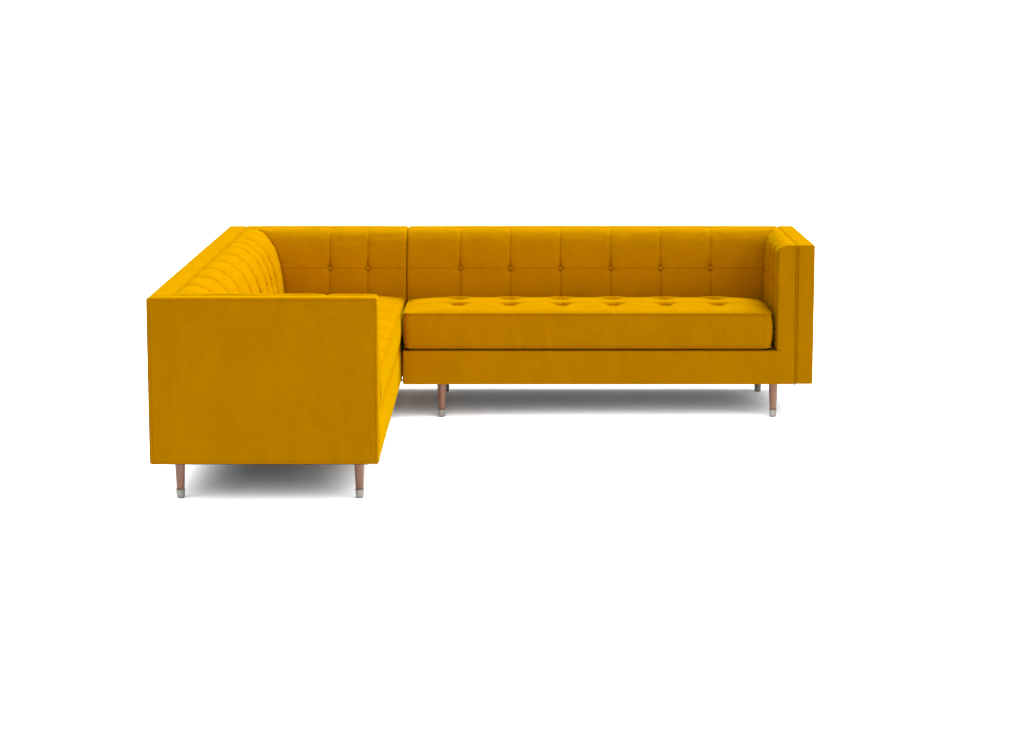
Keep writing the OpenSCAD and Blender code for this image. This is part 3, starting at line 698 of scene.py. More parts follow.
def face_line(depth, power, bottom, top, base_radius):
    """The pad's visible section from its bottom front edge to the crest, as a fine line."""
    share = 1 - (1 - np.linspace(0, 1, 500)) ** 2
    y = section_depth(share, depth, power)
    z = bottom + share * (top - bottom)
    keep = z > bottom + base_radius
    y, z = y[keep], z[keep]
    turn = np.radians(np.linspace(0, 90, 8))[:-1]
    arc_y = y[0] - base_radius + base_radius * np.sin(turn)
    arc_z = bottom + base_radius - base_radius * np.cos(turn)
    y, z = np.concatenate([arc_y, y]), np.concatenate([arc_z, z])
    run_length = np.concatenate([[0], np.cumsum(np.hypot(np.diff(y), np.diff(z)))])
    return y, z, run_length


def pad_grid(spec):
    """Rest points of a pad's skin, and the length, arc and outward normal of each point."""
    y, z, arc = face_line(spec["depth"], spec["power"], spec["bottom"], spec["top"],
                          spec["base_radius"])
    buttons = spec["buttons"]
    button_arc = float(np.interp(spec["button_z"], z, arc))
    seams = list(buttons[:, 0])
    x0, x1, radius = spec["x0"], spec["x1"], spec["end_radius"]
    arcs = fanned(0, arc[-1], PAD_STEP, [button_arc])
    xs = fanned(x0 + radius, x1 - radius, PAD_STEP, seams)
    face = np.stack([np.interp(arcs, arc, y), np.interp(arcs, arc, z)], 1)
    slope = np.gradient(face, arcs, axis=0)
    slope /= np.linalg.norm(slope, axis=1, keepdims=True)
    normal = np.stack([slope[:, 1], -slope[:, 0]], 1)
    return xs, arcs, face, normal, button_arc


print("pad grid step mm:", PAD_STEP / MM)


# %% [markdown]
# The skin is the section carried along the pad. Its ends round in, its section may change
# along its length, an end in a corner of the sofa is mitred, and an end against an arm leans
# out at the top to lie on the arm's roll.

# %% Pad skin


def pad_pieces(spec, detail):
    xs, arcs, face, normal, button_arc = pad_grid(spec)
    x0, x1, radius = spec["x0"], spec["x1"], spec["end_radius"]
    turn = np.radians(np.linspace(0, 90, 7))[:-1]
    ends_x = radius * (1 - np.cos(turn))
    ends_in = radius * (1 - np.sin(turn))
    length = np.concatenate([x0 + ends_x, xs, x1 - ends_x[::-1]])
    inset = np.concatenate([ends_in, np.zeros(len(xs)), ends_in[::-1]])
    bottom, top = spec["bottom"], spec["top"]
    back = np.array([(0, z) for z in np.linspace(top - 8 * MM, bottom + 6 * MM, 7)]
                    + [(6 * MM, bottom)]
                    + [(y, bottom) for y in np.linspace(spec["depth"] * 0.4,
                                                        face[0, 0] - 4 * MM, 3)])
    loop = np.concatenate([face, back])
    forward = np.roll(loop, -1, 0) - np.roll(loop, 1, 0)
    forward /= np.linalg.norm(forward, axis=1, keepdims=True)
    out = np.stack([forward[:, 1], -forward[:, 0]], 1)
    out[:len(normal)] = normal
    grid_x, grid_a = np.meshgrid(length, arcs, indexing="ij")
    move = np.zeros((len(length), len(loop)))
    move[:, :len(arcs)] = detail(grid_x, grid_a, button_arc)
    hold = np.clip(loop[:, 0] / (1.5 * radius), 0, 1)
    hold[len(arcs):] *= loop[len(arcs):, 0] > 1 * MM
    move -= inset[:, None] * hold
    section = loop[None] + out[None] * move[..., None]
    share = (face[:, 1] - bottom) / (top - bottom)
    rolled = section_depth(share, spec["depth"], spec["far_power"]) - section_depth(
        share, spec["depth"], spec["power"])
    along = np.clip((length - x0) / (x1 - x0), 0, 1)
    along = along * along * (3 - 2 * along)
    section[:, :len(arcs), 0] += along[:, None] * rolled
    where_x = np.repeat(length[:, None], len(loop), 1)
    if spec["mitre"]:
        start = spec["mitre_from"]
        share = np.clip((where_x - start) / (x1 - start), 0, 1)
        where_x = np.where(where_x > start,
                           start + share * (x1 - np.maximum(section[..., 0], 0) - start),
                           where_x)
    for end, deep, way in zip((x0, x1), spec["end_lean"], (-1, 1)):
        if deep:
            start = spec["buttons"][:, 0].min() - 40 * MM
            if way > 0:
                start = spec["buttons"][:, 0].max() + 40 * MM
            share = np.clip((where_x - start) / (end - start), 0, 1)
            height = (section[..., 1] - bottom) / (top - bottom)
            room = deep - section_depth(height, deep, ARM_ROLL)
            where_x = where_x + way * share * share * np.minimum(room, deep - 10 * MM)
    rings = np.concatenate([where_x[..., None], section], -1)
    rings[..., 1] += spec["back_y"]
    inward = np.concatenate([np.zeros((len(loop), 1)), -out * hold[:, None]], 1)
    first = [rings[0] + inward * d for d in (5 * MM, 1.5 * MM)]
    last = [rings[-1] + inward * d for d in (1.5 * MM, 5 * MM)]
    return closed_tube(np.concatenate([first, rings, last]), flat_ends=True)


# %% [markdown]
# The channels and dimples of a pad are one field of moves along the normal. A channel runs
# from the seat over the crest at each button, another runs through all the buttons, each
# button sits in a small hollow, and the slack cloth makes a short pleat above it. Between the
# channels the skin billows, by an amount that the next cells make. Low down, where the seat
# cushion's zip slides past, the pad is held in by the cushion.

# %% Pad field
PLEAT = 11.0 * MM
PLEAT_RISE = 75 * MM
PLEAT_FALL = 40 * MM
TUCK_FROM = 150 * MM
TUCK_RUN = 45 * MM


def tufted(spec, billow):
    buttons = spec["buttons"]

    def detail(x, a, button_arc):
        move = billow(x, a)
        up = a - button_arc
        total = a.max()
        fade = np.clip((total - a) / spec["fade"], spec["least"], 1)
        for at in buttons[:, 0]:
            off = x - at
            side = np.exp(-(off / (3 * spec["roll"])) ** 2)
            move = move + creased(off, spec["crease_width"], spec["crease"], spec["roll"],
                                  spec["roll_depth"]) * fade * np.maximum(side, 0)
            reach = np.hypot(off, up * 0.9)
            move = move - spec["hollow"] * np.exp(-(reach / (12.5 * MM)) ** 2)
            move = move - 3.0 * MM * np.exp(-(reach / (32 * MM)) ** 2)
            rise = np.clip(up / PLEAT_RISE, 0, 1)
            pleat = np.exp(-(off / (3.0 * MM + 6 * MM * rise)) ** 2) * (1 - rise) ** 1.3
            move = move - PLEAT * pleat * (up > 0)
            fall = np.clip(-up / PLEAT_FALL, 0, 1)
            move = move - 2.0 * MM * np.exp(-(off / (4 * MM)) ** 2) * (1 - fall) ** 2 * (up < 0)
        held = np.clip((TUCK_FROM - a) / TUCK_RUN, 0, 1)
        move = move - spec["tuck"] * held * held * (3 - 2 * held)
        across = creased(up, 1.6 * MM, spec["cross"], 10 * MM, 0.8 * MM)
        ends = np.minimum(x - spec["x0"], spec["x1"] - x)
        return move + across * np.clip(ends / (20 * MM), 0, 1)

    return detail


print("pleat mm:", PLEAT / MM, "deep, over", PLEAT_RISE / MM)


# %% [markdown]
# ## Fullness of the cloth
# Velvet is cut a little larger than the foam and held at its seams, so between them it stands
# full. Each sheet is a Blender cloth, pinned along its seams and blown by a light pressure
# with gravity off. Only how far each point moved along its normal is kept, with a smooth cap,
# so no Cloth stays on a piece. A finer grid then takes the moves by smooth curves. A whole
# cushion could be blown as one bag, but its thin seams would be lost.

# %% Cloth simulation
PRESSURE = 4.0
SLACK = 0.01
SIM_FRAMES = 20
SHEET_STEP = 12.0 * MM


def fullness(sheet, pinned, cap):
    """Inflates a sewn sheet with cloth pressure and gives each point's move along its normal."""
    rows, count = sheet.shape[:2]
    mesh = bpy.data.meshes.new("sheet")
    faces = quads_between(np.arange(rows * count).reshape(rows, count))
    mesh.from_pydata(sheet.reshape(-1, 3).tolist(), [], faces.tolist())
    bag = bpy.data.objects.new("sheet", mesh)
    bpy.context.scene.collection.objects.link(bag)
    sewn = bag.vertex_groups.new(name="sewn")
    sewn.add(np.flatnonzero(pinned.reshape(-1)).tolist(), 1.0, "REPLACE")
    cloth = bag.modifiers.new("cloth", "CLOTH")
    cloth.settings.vertex_group_mass = "sewn"
    cloth.settings.use_pressure = True
    cloth.settings.uniform_pressure_force = PRESSURE
    cloth.settings.shrink_min = -SLACK
    cloth.settings.effector_weights.gravity = 0
    cloth.settings.quality = 4
    cloth.collision_settings.use_collision = False
    cloth.point_cache.frame_start = 1
    cloth.point_cache.frame_end = SIM_FRAMES
    normals = np.empty(rows * count * 3)
    mesh.vertices.foreach_get("normal", normals)
    for number in range(1, SIM_FRAMES + 1):
        bpy.context.scene.frame_set(number)
    blown = bag.evaluated_get(bpy.context.evaluated_depsgraph_get()).data
    places = np.empty(rows * count * 3)
    blown.vertices.foreach_get("co", places)
    bpy.data.objects.remove(bag)
    bpy.data.meshes.remove(mesh)
    bpy.context.scene.frame_set(1)
    moved = (places.reshape(-1, 3) - sheet.reshape(-1, 3)) * normals.reshape(-1, 3)
    moved = np.abs(moved.sum(1)).reshape(rows, count)
    print("  cloth fullness mm:", round(float(moved.max()) / MM, 1))
    return cap * np.tanh(moved / cap)


def hermite(at, marks, values):
    """Smooth values between marks, along the first axis."""
    i = np.clip(np.searchsorted(marks, at, side="right") - 1, 0, len(marks) - 2)
    gap = marks[i + 1] - marks[i]
    t = np.clip((at - marks[i]) / gap, 0, 1)[:, None]
    slope = np.gradient(values, marks, axis=0)
    gap = gap[:, None]
    return (values[i] * (1 + 2 * t) * (1 - t) ** 2 + slope[i] * gap * t * (1 - t) ** 2
            + values[i + 1] * t * t * (3 - 2 * t) - slope[i + 1] * gap * t * t * (1 - t))


def sampled(at_x, at_y, xs, ys, values):
    """A coarse table of moves taken at a finer grid's lines."""
    return hermite(at_y, ys, hermite(at_x, xs, values).T).T


def lines_between(marks, step):
    parts = [np.linspace(a, b, max(3, round((b - a) / step) + 1))[:-1]
             for a, b in zip(marks[:-1], marks[1:])]
    return np.concatenate(parts + [[marks[-1]]])


print("cloth frames:", SIM_FRAMES, "pressure:", PRESSURE)

# %% [markdown]
# A pad's sheet follows its section from seat to crest and is sewn at every channel.

# %% Billow of a pad


def cloth_billow(spec):
    y, z, arc = face_line(spec["depth"], spec["power"], spec["bottom"], spec["top"],
                          spec["base_radius"])
    marks = np.concatenate([[spec["x0"]], spec["buttons"][:, 0], [spec["x1"]]])
    button_arc = float(np.interp(spec["button_z"], z, arc))
    xs = lines_between(marks, SHEET_STEP)
    arcs = lines_between([0, button_arc, arc[-1]], SHEET_STEP)
    face = np.stack([np.interp(arcs, arc, y), np.interp(arcs, arc, z)], 1)
    sheet = np.concatenate([np.repeat(xs[:, None, None], len(arcs), 1),
                            np.repeat(face[None], len(xs), 0)], 2)
    pinned = np.isin(xs, marks)[:, None] | np.isin(arcs, (0, arc[-1]))[None]
    rise = fullness(sheet, pinned, 1.2 * spec["billow"])

    def billow(x, a):
        return sampled(x[:, 0], a[0], xs, arcs, rise)

    return billow


print("simulated fullness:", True)


# %% Pads
PAD_TOP = cad("corner_long_back_pad")[1][2]


def pad(name, run, node, foam, buttons_node, body, power, mitre, **look):
    low, high = run_box(run, node)
    spec = {"x0": low[0], "x1": high[0], "back_y": low[1], "depth": high[1] - low[1],
            "bottom": low[2], "top": PAD_TOP, "power": power, "mitre": mitre,
            "base_radius": 10 * MM, "end_radius": 12 * MM, "reach": 0.0, "base_drop": 0.0,
            "buttons": run_buttons(run, buttons_node, node), "fade": 160 * MM, "least": 0.15,
            "roll": 8 * MM, "roll_depth": 1.2 * MM, "crease": 3.4 * MM, "hollow": 15 * MM,
            "cross": 2.6 * MM, "billow": 3 * MM, "far_power": power,
            "crease_width": 1.8 * MM, "tuck": 0.0,
            "end_lean": (0, 0)}
    spec.update(look)
    spec["button_z"] = spec["buttons"][:, 2].mean()
    spec["x0"] -= spec["reach"]
    spec["bottom"] -= spec["base_drop"]
    if mitre:
        spec["mitre_from"] = spec["buttons"][-1, 0] + 40 * MM
    billow = cloth_billow(spec)
    points, faces = pad_pieces(spec, tufted(spec, billow))
    made = piece(name, run, points, faces, body, cotton_velvet, [node])
    inner = dict(spec)
    inner.update({"x0": spec["x0"] + 16 * MM, "x1": spec["x1"] - 26 * MM,
                  "depth": spec["depth"] - 26 * MM, "top": spec["top"] - 26 * MM,
                  "bottom": spec["bottom"] + 8 * MM, "back_y": spec["back_y"] + 4 * MM})
    points, faces = pad_pieces(inner, lambda x, a, b: 0 * x)
    core = piece(foam, run, points, faces, body, foam_open, [foam.replace("_core", "")])
    return spec


arm_look = {"far_power": ARM_ROLL, "base_drop": 7 * MM, "base_radius": 9 * MM, "end_radius": 6 * MM,
            "roll_depth": 3 * MM, "roll": 14 * MM, "crease": 4 * MM, "billow": 5 * MM}
arm_pad_low, arm_pad_high = cad("bench_arm_pad")
arm_thick = arm_pad_high[0] - arm_pad_low[0]
specs = {}
specs["long_back"] = pad("corner_long_back_cushion", "long_back", "corner_long_back_pad",
                         "corner_long_back_foam_core", "corner_buttons", "corner_unit", 2.5,
                         True, fade=40 * MM, least=0.6, roll=20 * MM, roll_depth=9.0 * MM,
                         crease=8 * MM, crease_width=3.2 * MM, hollow=20 * MM,
                         billow=5.5 * MM, cross=1.2 * MM, tuck=9 * MM,
                         end_lean=(arm_thick, 0))
specs["return_back"] = pad("corner_return_back_cushion", "return_back",
                           "corner_return_back_pad", "corner_return_back_foam_core",
                           "corner_buttons", "corner_unit", 2.5, True, reach=4 * MM)
specs["near_arm"] = pad("corner_arm_cushion", "near_arm", "corner_arm_pad",
                        "corner_arm_foam_core", "corner_buttons", "corner_unit", 45, False,
                        **arm_look)
specs["bench_back"] = pad("bench_back_cushion", "bench_back", "bench_back_pad",
                          "bench_back_foam_core", "bench_buttons", "bench_unit", 2.5, False,
                          reach=4 * MM, end_radius=9 * MM, tuck=6 * MM,
                          end_lean=(0, arm_thick))
specs["bench_arm"] = pad("bench_arm_cushion", "bench_arm", "bench_arm_pad",
                         "bench_arm_foam_core", "bench_buttons", "bench_unit", 45, False,
                         **arm_look)

# %% [markdown]
# ## Covered buttons
# A covered button is a metal dome with velvet pulled over it and tucked in behind. Its face
# is a low dome with a soft shoulder, and its back is a flat disc out of sight.

# %% Buttons
TILT = 0.2
SUNK = 1.5 * MM
BUTTON = (9.5 * MM, 7.5 * MM)


def dome_profile(radius, height):
    turn = np.radians(np.linspace(0, 90, 9))
    rim = [(0.55 * radius, 0), (0.93 * radius, 0.0), (radius, 0.18 * height)]
    face = [(max(radius * math.cos(t) ** 0.75, 0.02 * radius),
             (0.3 + 0.7 * math.sin(t)) * height) for t in turn]
    return rim + face


def facing(points, direction):
    """Turns points from facing +Z to facing a direction."""
    turn = Vector((0, 0, 1)).rotation_difference(Vector(direction)).to_matrix()
    return points @ np.array(turn).T


def buttons_for(name, body, node, groups):
    parts = []
    for run, spec in groups:
        for at in spec["buttons"]:
            points, faces = lathe(dome_profile(*BUTTON), 28)
            points = facing(points, (0, 1, TILT)) + (at[0], at[1] - SUNK, at[2])
            world = to_world(runs[run], points)
            if runs[run]["mirrored"]:
                faces = [f[::-1] for f in faces]
            parts.append((world, faces))
    points, faces = joined(parts)
    return piece(name, "world", points, faces, body, button_velvet, [node])


buttons_for("corner_covered_buttons", "corner_unit", "corner_buttons",
            [(r, specs[r]) for r in ("long_back", "return_back", "near_arm")])
buttons_for("bench_covered_buttons", "bench_unit", "bench_buttons",
            [(r, specs[r]) for r in ("bench_back", "bench_arm")])

# %% [markdown]
# ## Seat cushions
# Each seat is one long loose cushion: a boxing strip round the sides between two welt cords,
# a crowned top drawn in by two rows of buttons, and a flat underside on the deck. It is a soft
# box whose upright corners have a plan radius, and its top rolls off at the ends and sinks a
# little towards the back pads.

# %% Cushion form
PLAN_R = 32.0 * MM
WELT = 4.0 * MM
END_ROLL = 205 * MM
DOME = 2.6
REAR_DROP = 9 * MM


def dome_of(share):
    return 1 - (1 - np.clip(share, 0, 1)) ** DOME


def round_corners(points, low, high, radius):
    """Turns the upright corners of a box's points onto a plan radius."""
    core = np.clip(points[:, :2], low[:2] + radius, high[:2] - radius)
    out = points[:, :2] - core
    longest = np.abs(out).max(1, keepdims=True)
    length = np.linalg.norm(out, axis=1, keepdims=True)
    moved = points.copy()
    moved[:, :2] = core + out * longest / np.maximum(length, 1e-9)
    return moved


def rear_drop(points, low, high, base_edge, top_edge):
    """How far the cushion's top sinks towards its rear edge, under the back pads."""
    share = np.clip((points[:, 1] - low[1]) / (high[1] - low[1]) * 2 - 1, 0, 1)
    lift = np.clip((points[:, 2] - base_edge) / (top_edge - base_edge), 0, 1)
    return REAR_DROP * share * share * (3 - 2 * share) * lift


print("cushion plan radius mm:", PLAN_R / MM, "end roll mm:", END_ROLL / MM)

# %% [markdown]
# The top is quilted by its buttons. The cloth's fullness between them is simulated on a flat
# sheet that is pinned at the welt and at each button. Over that come a stitched line along
# each row, a channel across at each column, and a hollow at each button, which is steep
# behind and long in front. The rear row has a low lip behind it.

# %% Cushion top
FULL_CAP = 5 * MM
TUFT_DEEP = 20 * MM
TUFT_WIDE = 36 * MM
TUFT_BEHIND = 12 * MM
TUFT_BEFORE = 62 * MM
REAR_LIP = 7 * MM


def top_sheet(low, high, rows, columns):
    """The cloth fullness of a cushion's top between its welt and its two rows of buttons."""
    xs = lines_between([low[0], *columns, high[0]], 16 * MM)
    ys = lines_between([low[1], *rows, high[1]], 16 * MM)
    sheet = np.stack(np.meshgrid(xs, ys, indexing="ij") + [np.zeros((len(xs), len(ys)))], 2)
    pinned = np.zeros((len(xs), len(ys)), bool)
    pinned[[0, -1]] = True
    pinned[:, [0, -1]] = True
    pinned |= np.isin(xs, columns)[:, None] & np.isin(ys, rows)[None]
    return xs, ys, fullness(sheet, pinned, FULL_CAP)


def crown_lift(share, low, high, rows, columns):
    xs, ys, rise = top_sheet(low, high, rows, columns)
    at_x, where_x = np.unique(share[:, 0], return_inverse=True)
    at_y, where_y = np.unique(share[:, 1], return_inverse=True)
    return sampled(at_x, at_y, xs, ys, rise)[where_x, where_y] - 0.6 * FULL_CAP


def quilted(share, low, high, rows, columns, channel):
    """The lift of a cushion's top with its seams, channels and tufts."""
    field = crown_lift(share, low, high, rows, columns)
    for row in rows:
        field += creased(share[:, 1] - row, 2 * MM, 1.0 * MM, 26 * MM, 3.0 * MM)
    for column in columns:
        field += creased(share[:, 0] - column, 2 * MM, 0.6 * MM + 0.3 * channel, 24 * MM,
                         channel)
        for row in rows:
            off = np.abs(share[:, 0] - column)
            up = share[:, 1] - row
            reach = np.hypot(off / TUFT_WIDE, up / np.where(up > 0, TUFT_BEHIND, TUFT_BEFORE))
            field -= TUFT_DEEP * np.exp(-reach ** 1.7)
            field -= 5 * MM * np.exp(-(up / (5 * MM)) ** 2) * np.exp(-(off / (34 * MM)) ** 2)
            if row > 0.5 * (low[1] + high[1]):
                field += REAR_LIP * np.exp(-((up - 26 * MM) / (16 * MM)) ** 2) * np.exp(
                    -(off / (60 * MM)) ** 2)
    return field


print("tuft hollow mm:", TUFT_WIDE / MM, "wide each way,", TUFT_DEEP / MM, "deep")

# %% [markdown]
# The skin is one closed box grid, with close lines at its edges and tufts. The boxing bulges
# between its welts. Under the cushion is the flat bottom, drawn in from the lower welt.

# %% Cushion skin
BOXING_BULGE = 10.5 * MM
BOXING_IN = 6.5 * MM


def cushion_skin(low, high, base_edge, top_edge, rows, columns, channel):
    xs = edged(low[0], high[0], PLAN_R, 12 * MM, columns)
    ys = edged(low[1], high[1], PLAN_R, 12 * MM, rows)
    zs = np.concatenate([[base_edge - 7 * MM, base_edge - 4.5 * MM],
                         np.linspace(base_edge, top_edge, 15),
                         [top_edge + 4.5 * MM]])
    flat_low = np.array([low[0], low[1], zs[0]])
    flat_high = np.array([high[0], high[1], zs[-1]])
    points, faces = box_grid(xs, ys, zs)
    share = points.copy()
    points = round_corners(points, flat_low, flat_high, PLAN_R)
    centre = np.clip(points[:, :2], low[:2] + PLAN_R, high[:2] - PLAN_R)
    out = points[:, :2] - centre
    distance = np.linalg.norm(out, axis=1, keepdims=True)
    out = out / np.maximum(distance, 1e-9)
    level = points[:, 2]
    side = (distance[:, 0] > PLAN_R - 1e-5) & (level > zs[0] + 1e-6) & (level < zs[-1] - 1e-6)
    rise = np.clip((level - base_edge) / (top_edge - base_edge), 0, 1)
    belly = BOXING_BULGE * np.sin(np.pi * rise) ** 0.7 - BOXING_IN
    points[:, :2] += out * np.where(side, belly, 0)[:, None]
    under = points[:, 2] <= zs[0] + 1e-6
    over = points[:, 2] >= zs[-1] - 1e-6
    shrink = np.clip(distance[:, 0] / PLAN_R, 0, 1) * np.where(under, 22 * MM, 9 * MM)
    points[:, :2] -= out * np.where(under | over, shrink, 0)[:, None]
    from_x = np.minimum(share[:, 0] - low[0], high[0] - share[:, 0])
    from_y = np.minimum(share[:, 1] - low[1], high[1] - share[:, 1])
    from_edge = np.minimum(from_x, from_y)
    crown = (high[2] - zs[-1]) * dome_of(from_x / END_ROLL) * dome_of(
        from_y / (0.5 * (high[1] - low[1])))
    field = quilted(share, low, high, rows, columns, channel)
    points[:, 2] += np.where(over, crown + field * dome_of(from_edge / 0.05), 0)
    settled = dome_of(from_edge / (45 * MM))
    points[:, 2] = np.where(under, zs[0] + (low[2] - zs[0]) * settled, points[:, 2])
    points[:, 2] -= rear_drop(points, low, high, base_edge, top_edge)
    return points, faces


print("boxing bulge mm:", round((BOXING_BULGE - BOXING_IN) / MM, 1))

# %% [markdown]
# Inside the cover is a foam block, a little smaller all round. A welt is a cord that follows
# the plan of the cushion at each edge of the boxing, and the buttons sit in their hollows.

# %% Cushion maker
CORE_IN = 34 * MM
CORE_UNDER = 14 * MM
CORE_TOP = 66 * MM


def cushion_core(low, high):
    core_low, core_high = low + CORE_IN, high - np.array([CORE_IN, CORE_IN, CORE_TOP])
    core_low[2] = low[2] + CORE_UNDER
    lines = [edged(core_low[a], core_high[a], 10 * MM, 40 * MM) for a in range(3)]
    points, faces = box_grid(*lines)
    return rounded(points, core_low, core_high, 10 * MM), faces


def welt_ring(low, high, height):
    """Points along a cushion's welt, close enough for the cord to follow its rear drop."""
    lo, hi = low[:2] + WELT + 0.5 * MM, high[:2] - WELT - 0.5 * MM
    r = PLAN_R - WELT
    line = []
    for cx, cy, start in ((hi[0] - r, hi[1] - r, 0), (lo[0] + r, hi[1] - r, 90),
                          (lo[0] + r, lo[1] + r, 180), (hi[0] - r, lo[1] + r, 270)):
        for t in np.radians(np.linspace(start, start + 90, 9)):
            line.append((cx + r * math.cos(t), cy + r * math.sin(t), height))
    line = np.array(line)
    dense = []
    for at, nxt in zip(line, np.roll(line, -1, 0)):
        count = max(1, int(np.linalg.norm(nxt - at) / 0.03))
        dense += [at + (nxt - at) * k / count for k in range(count)]
    return np.array(dense)


def cushion(name, run, prefix, body, slack, channel):
    low, high = run_box(run, prefix + "_cover")
    low[0] += slack[0]
    high[0] -= slack[1]
    welt_low, welt_high = run_box(run, prefix + "_welts")
    top_edge = welt_high[2] - WELT
    base_edge = welt_low[2] + WELT + 7 * MM
    buttons = to_run(runs[run], middles(prefix + "_buttons", BUTTON_APART))
    columns = np.unique(np.round(buttons[:, 0], 3))
    rows = np.unique(np.round(buttons[:, 1], 3))
    points, faces = cushion_skin(low, high, base_edge, top_edge, rows, columns, channel)
    made = piece(name, run, points, faces, body, cotton_velvet, [prefix + "_cover"])
    points, faces = cushion_core(low, high)
    core = piece(prefix + "_foam_core", run, points, faces, body, foam_open,
                 [prefix + "_foam"])
    parts = []
    for height in (top_edge, base_edge):
        ring = welt_ring(low, high, height)
        ring[:, 2] -= rear_drop(ring, low, high, base_edge, top_edge)
        parts.append(cord_along(ring, WELT, closed=True))
    points, faces = joined(parts)
    piece(prefix + "_welt_cords", run, points, faces, body, welt_velvet,
          [prefix + "_welts"])
    parts = []
    for at in buttons:
        button, button_faces = lathe(dome_profile(*BUTTON), 28)
        parts.append((button + (at[0], at[1], at[2] - 1.0 * MM), button_faces))
    points, faces = joined(parts)
    piece(prefix + "_covered_buttons", run, points, faces, body, button_velvet,
          [prefix + "_buttons"])


cushion("corner_seat_cushion_cover", "corner_seat", "corner_seat", "corner_seat_cushion",
        (3 * MM, 3 * MM), 8 * MM)
cushion("bench_seat_cushion_cover", "bench_seat", "bench_seat", "bench_seat_cushion",
        (0.5 * MM, 8 * MM), 0.5 * MM)

# %% [markdown]
# ## Welts on the frames
# A cord sewn into the seam marks where each pad meets its frame cover: along the crest, and
# down the end of a run. Each is one cord that turns over at the top.

# %% Frame welts
WELT_ZONE = 9.0 * MM
CORD = 4.4 * MM


def frame_welt(run, x_from, x_to, shell_t, end_z):
    y = shell_t + WELT_ZONE / 2
    top = CREST - WELT
    line = []
    if end_z is not None:
        line += [(x_from + WELT, y, z) for z in np.linspace(end_z, top - 6 * MM, 24)]
        line += [(x_from + WELT + 6 * MM * (1 - math.cos(t)), y,
                  top - 6 * MM + 6 * MM * math.sin(t)) for t in np.radians([22, 45, 68, 90])]
        x_from = x_from + WELT + 6 * MM
    count = max(2, int(abs(x_to - x_from) / 0.04))
    line += [(x, y, top) for x in np.linspace(x_from, x_to, count)[(1 if end_z else 0):]]
    points, faces = cord_along(line, CORD)
    if runs[run]["mirrored"]:
        faces = [f[::-1] for f in faces]
    return to_world(runs[run], points), faces


near = runs["near_arm"]
unit_w = arm_high[0] - arm_low[0]
mirror_arm = run_axes((arm_high[0], FRONT, 0), (-1, 0, 0), (0, 1, 0))
runs["near_arm_end"] = mirror_arm
back_in = BACK_SHELL + WELT_ZONE
corner_parts = [
    frame_welt("near_arm_end", 0, unit_w - back_in, ARM_SHELL, LEG_TOP + 0.5 * MM),
    frame_welt("long_back", ARM_SHELL + WELT_ZONE, BACK - FRONT - BACK_SHELL, BACK_SHELL,
               None),
    frame_welt("return_back", 0, unit_w - back_in, BACK_SHELL, DECK),
]
points, faces = joined(corner_parts)
piece("corner_welt_cords", "world", points, faces, "corner_unit", welt_velvet,
      ["corner_welts"])
bench_long = bench_high[0] - bench_back_low[0]
bench_deep = BACK - bench_low[1]
bench_parts = [
    frame_welt("bench_arm", 0, bench_deep - BACK_SHELL - 1 * MM, ARM_SHELL, LEG_TOP + 0.5 * MM),
    frame_welt("bench_back", 0, bench_long - ARM_SHELL - WELT_ZONE, BACK_SHELL, DECK),
]
points, faces = joined(bench_parts)
piece("bench_welt_cords", "world", points, faces, "bench_unit", welt_velvet,
      ["bench_welts"])

# %% [markdown]
# ## Legs
# Each leg is a tapered turning: beech above, a nickel-plated ferrule pressed on its foot, and
# a nylon glide under that. All three are profiles turned round the leg's own axis, with the
# small chamfers a lathe leaves, so that the edges catch light.

# %% Legs
LEG_APART = 60 * MM
AROUND_LEG = 56


def turned_set(name, body, node, material, profile):
    parts = []
    for x, y in middles(node, LEG_APART, 2):
        points, faces = lathe(profile, AROUND_LEG)
        parts.append((points + (x, y, 0), faces))
    points, faces = joined(parts)
    return piece(name, "world", points, faces, body, material, [node])


leg_profile = np.array([(11.8, 7.2), (11.8, 37.4), (14.9, 37.6), (15.5, 38.4), (16.4, 58),
                        (17.4, 80), (18.4, 102), (19.4, 124), (20.3, 145), (20.9, 160),
                        (21.0, 163.6), (20.4, 164.6), (4.2, 164.8), (4.1, 125.2)]) * MM
ferrule_profile = np.array([(4, 4.1), (14.2, 4.1), (15.0, 4.9), (16.1, 18.0), (17.2, 33.6),
                            (17.75, 34.0), (17.75, 35.6), (17.4, 36.0), (12.2, 36.0),
                            (12.2, 6.6), (4, 6.6)]) * MM
glide_profile = np.array([(3, 0.0), (11.6, 0.0), (12.6, 0.9), (13.4, 3.4), (13.0, 4.0),
                          (3, 4.0)]) * MM
for unit, body in (("corner", "corner_unit"), ("bench", "bench_unit")):
    turned_set(unit + "_leg_turnings", body, unit + "_legs", beech, leg_profile)
    turned_set(unit + "_ferrule_caps", body, unit + "_ferrules", nickel,
               ferrule_profile)
    turned_set(unit + "_glide_discs", body, unit + "_glides", nylon,
               glide_profile)

# %% [markdown]
# ## Frames, springs and hardware
# The timber, springs, webbing, cloths, bolts and connectors have the right shape in the CAD
# model, so they stay, and each takes a finish of its own. Zips stay as well.

# %% Finishes for the CAD nodes
kept = {
    pine: ("corner_base_frame", "corner_upper_frame", "bench_base_frame", "bench_upper_frame"),
    spring_wire: ("corner_springs", "bench_springs"),
    zinc: ("corner_spring_clips", "bench_spring_clips", "corner_leg_bolts", "bench_leg_bolts",
           "corner_tee_nuts", "bench_tee_nuts", "connector_jaws", "connector_tongues"),
    jute: ("corner_webbing", "bench_webbing"),
    dust_cloth: ("corner_dust_cover", "bench_dust_cover"),
    deck_cloth: ("corner_deck", "bench_deck"),
    zip_tape: ("corner_seat_zip", "bench_seat_zip"),
    zip_metal: ("corner_zip_slider", "bench_zip_slider"),
}
for material, names in kept.items():
    for name in names:
        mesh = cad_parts[name].data
        mesh.materials.clear()
        mesh.materials.append(material)
print("CAD nodes kept:", sum(len(n) for n in kept.values()))

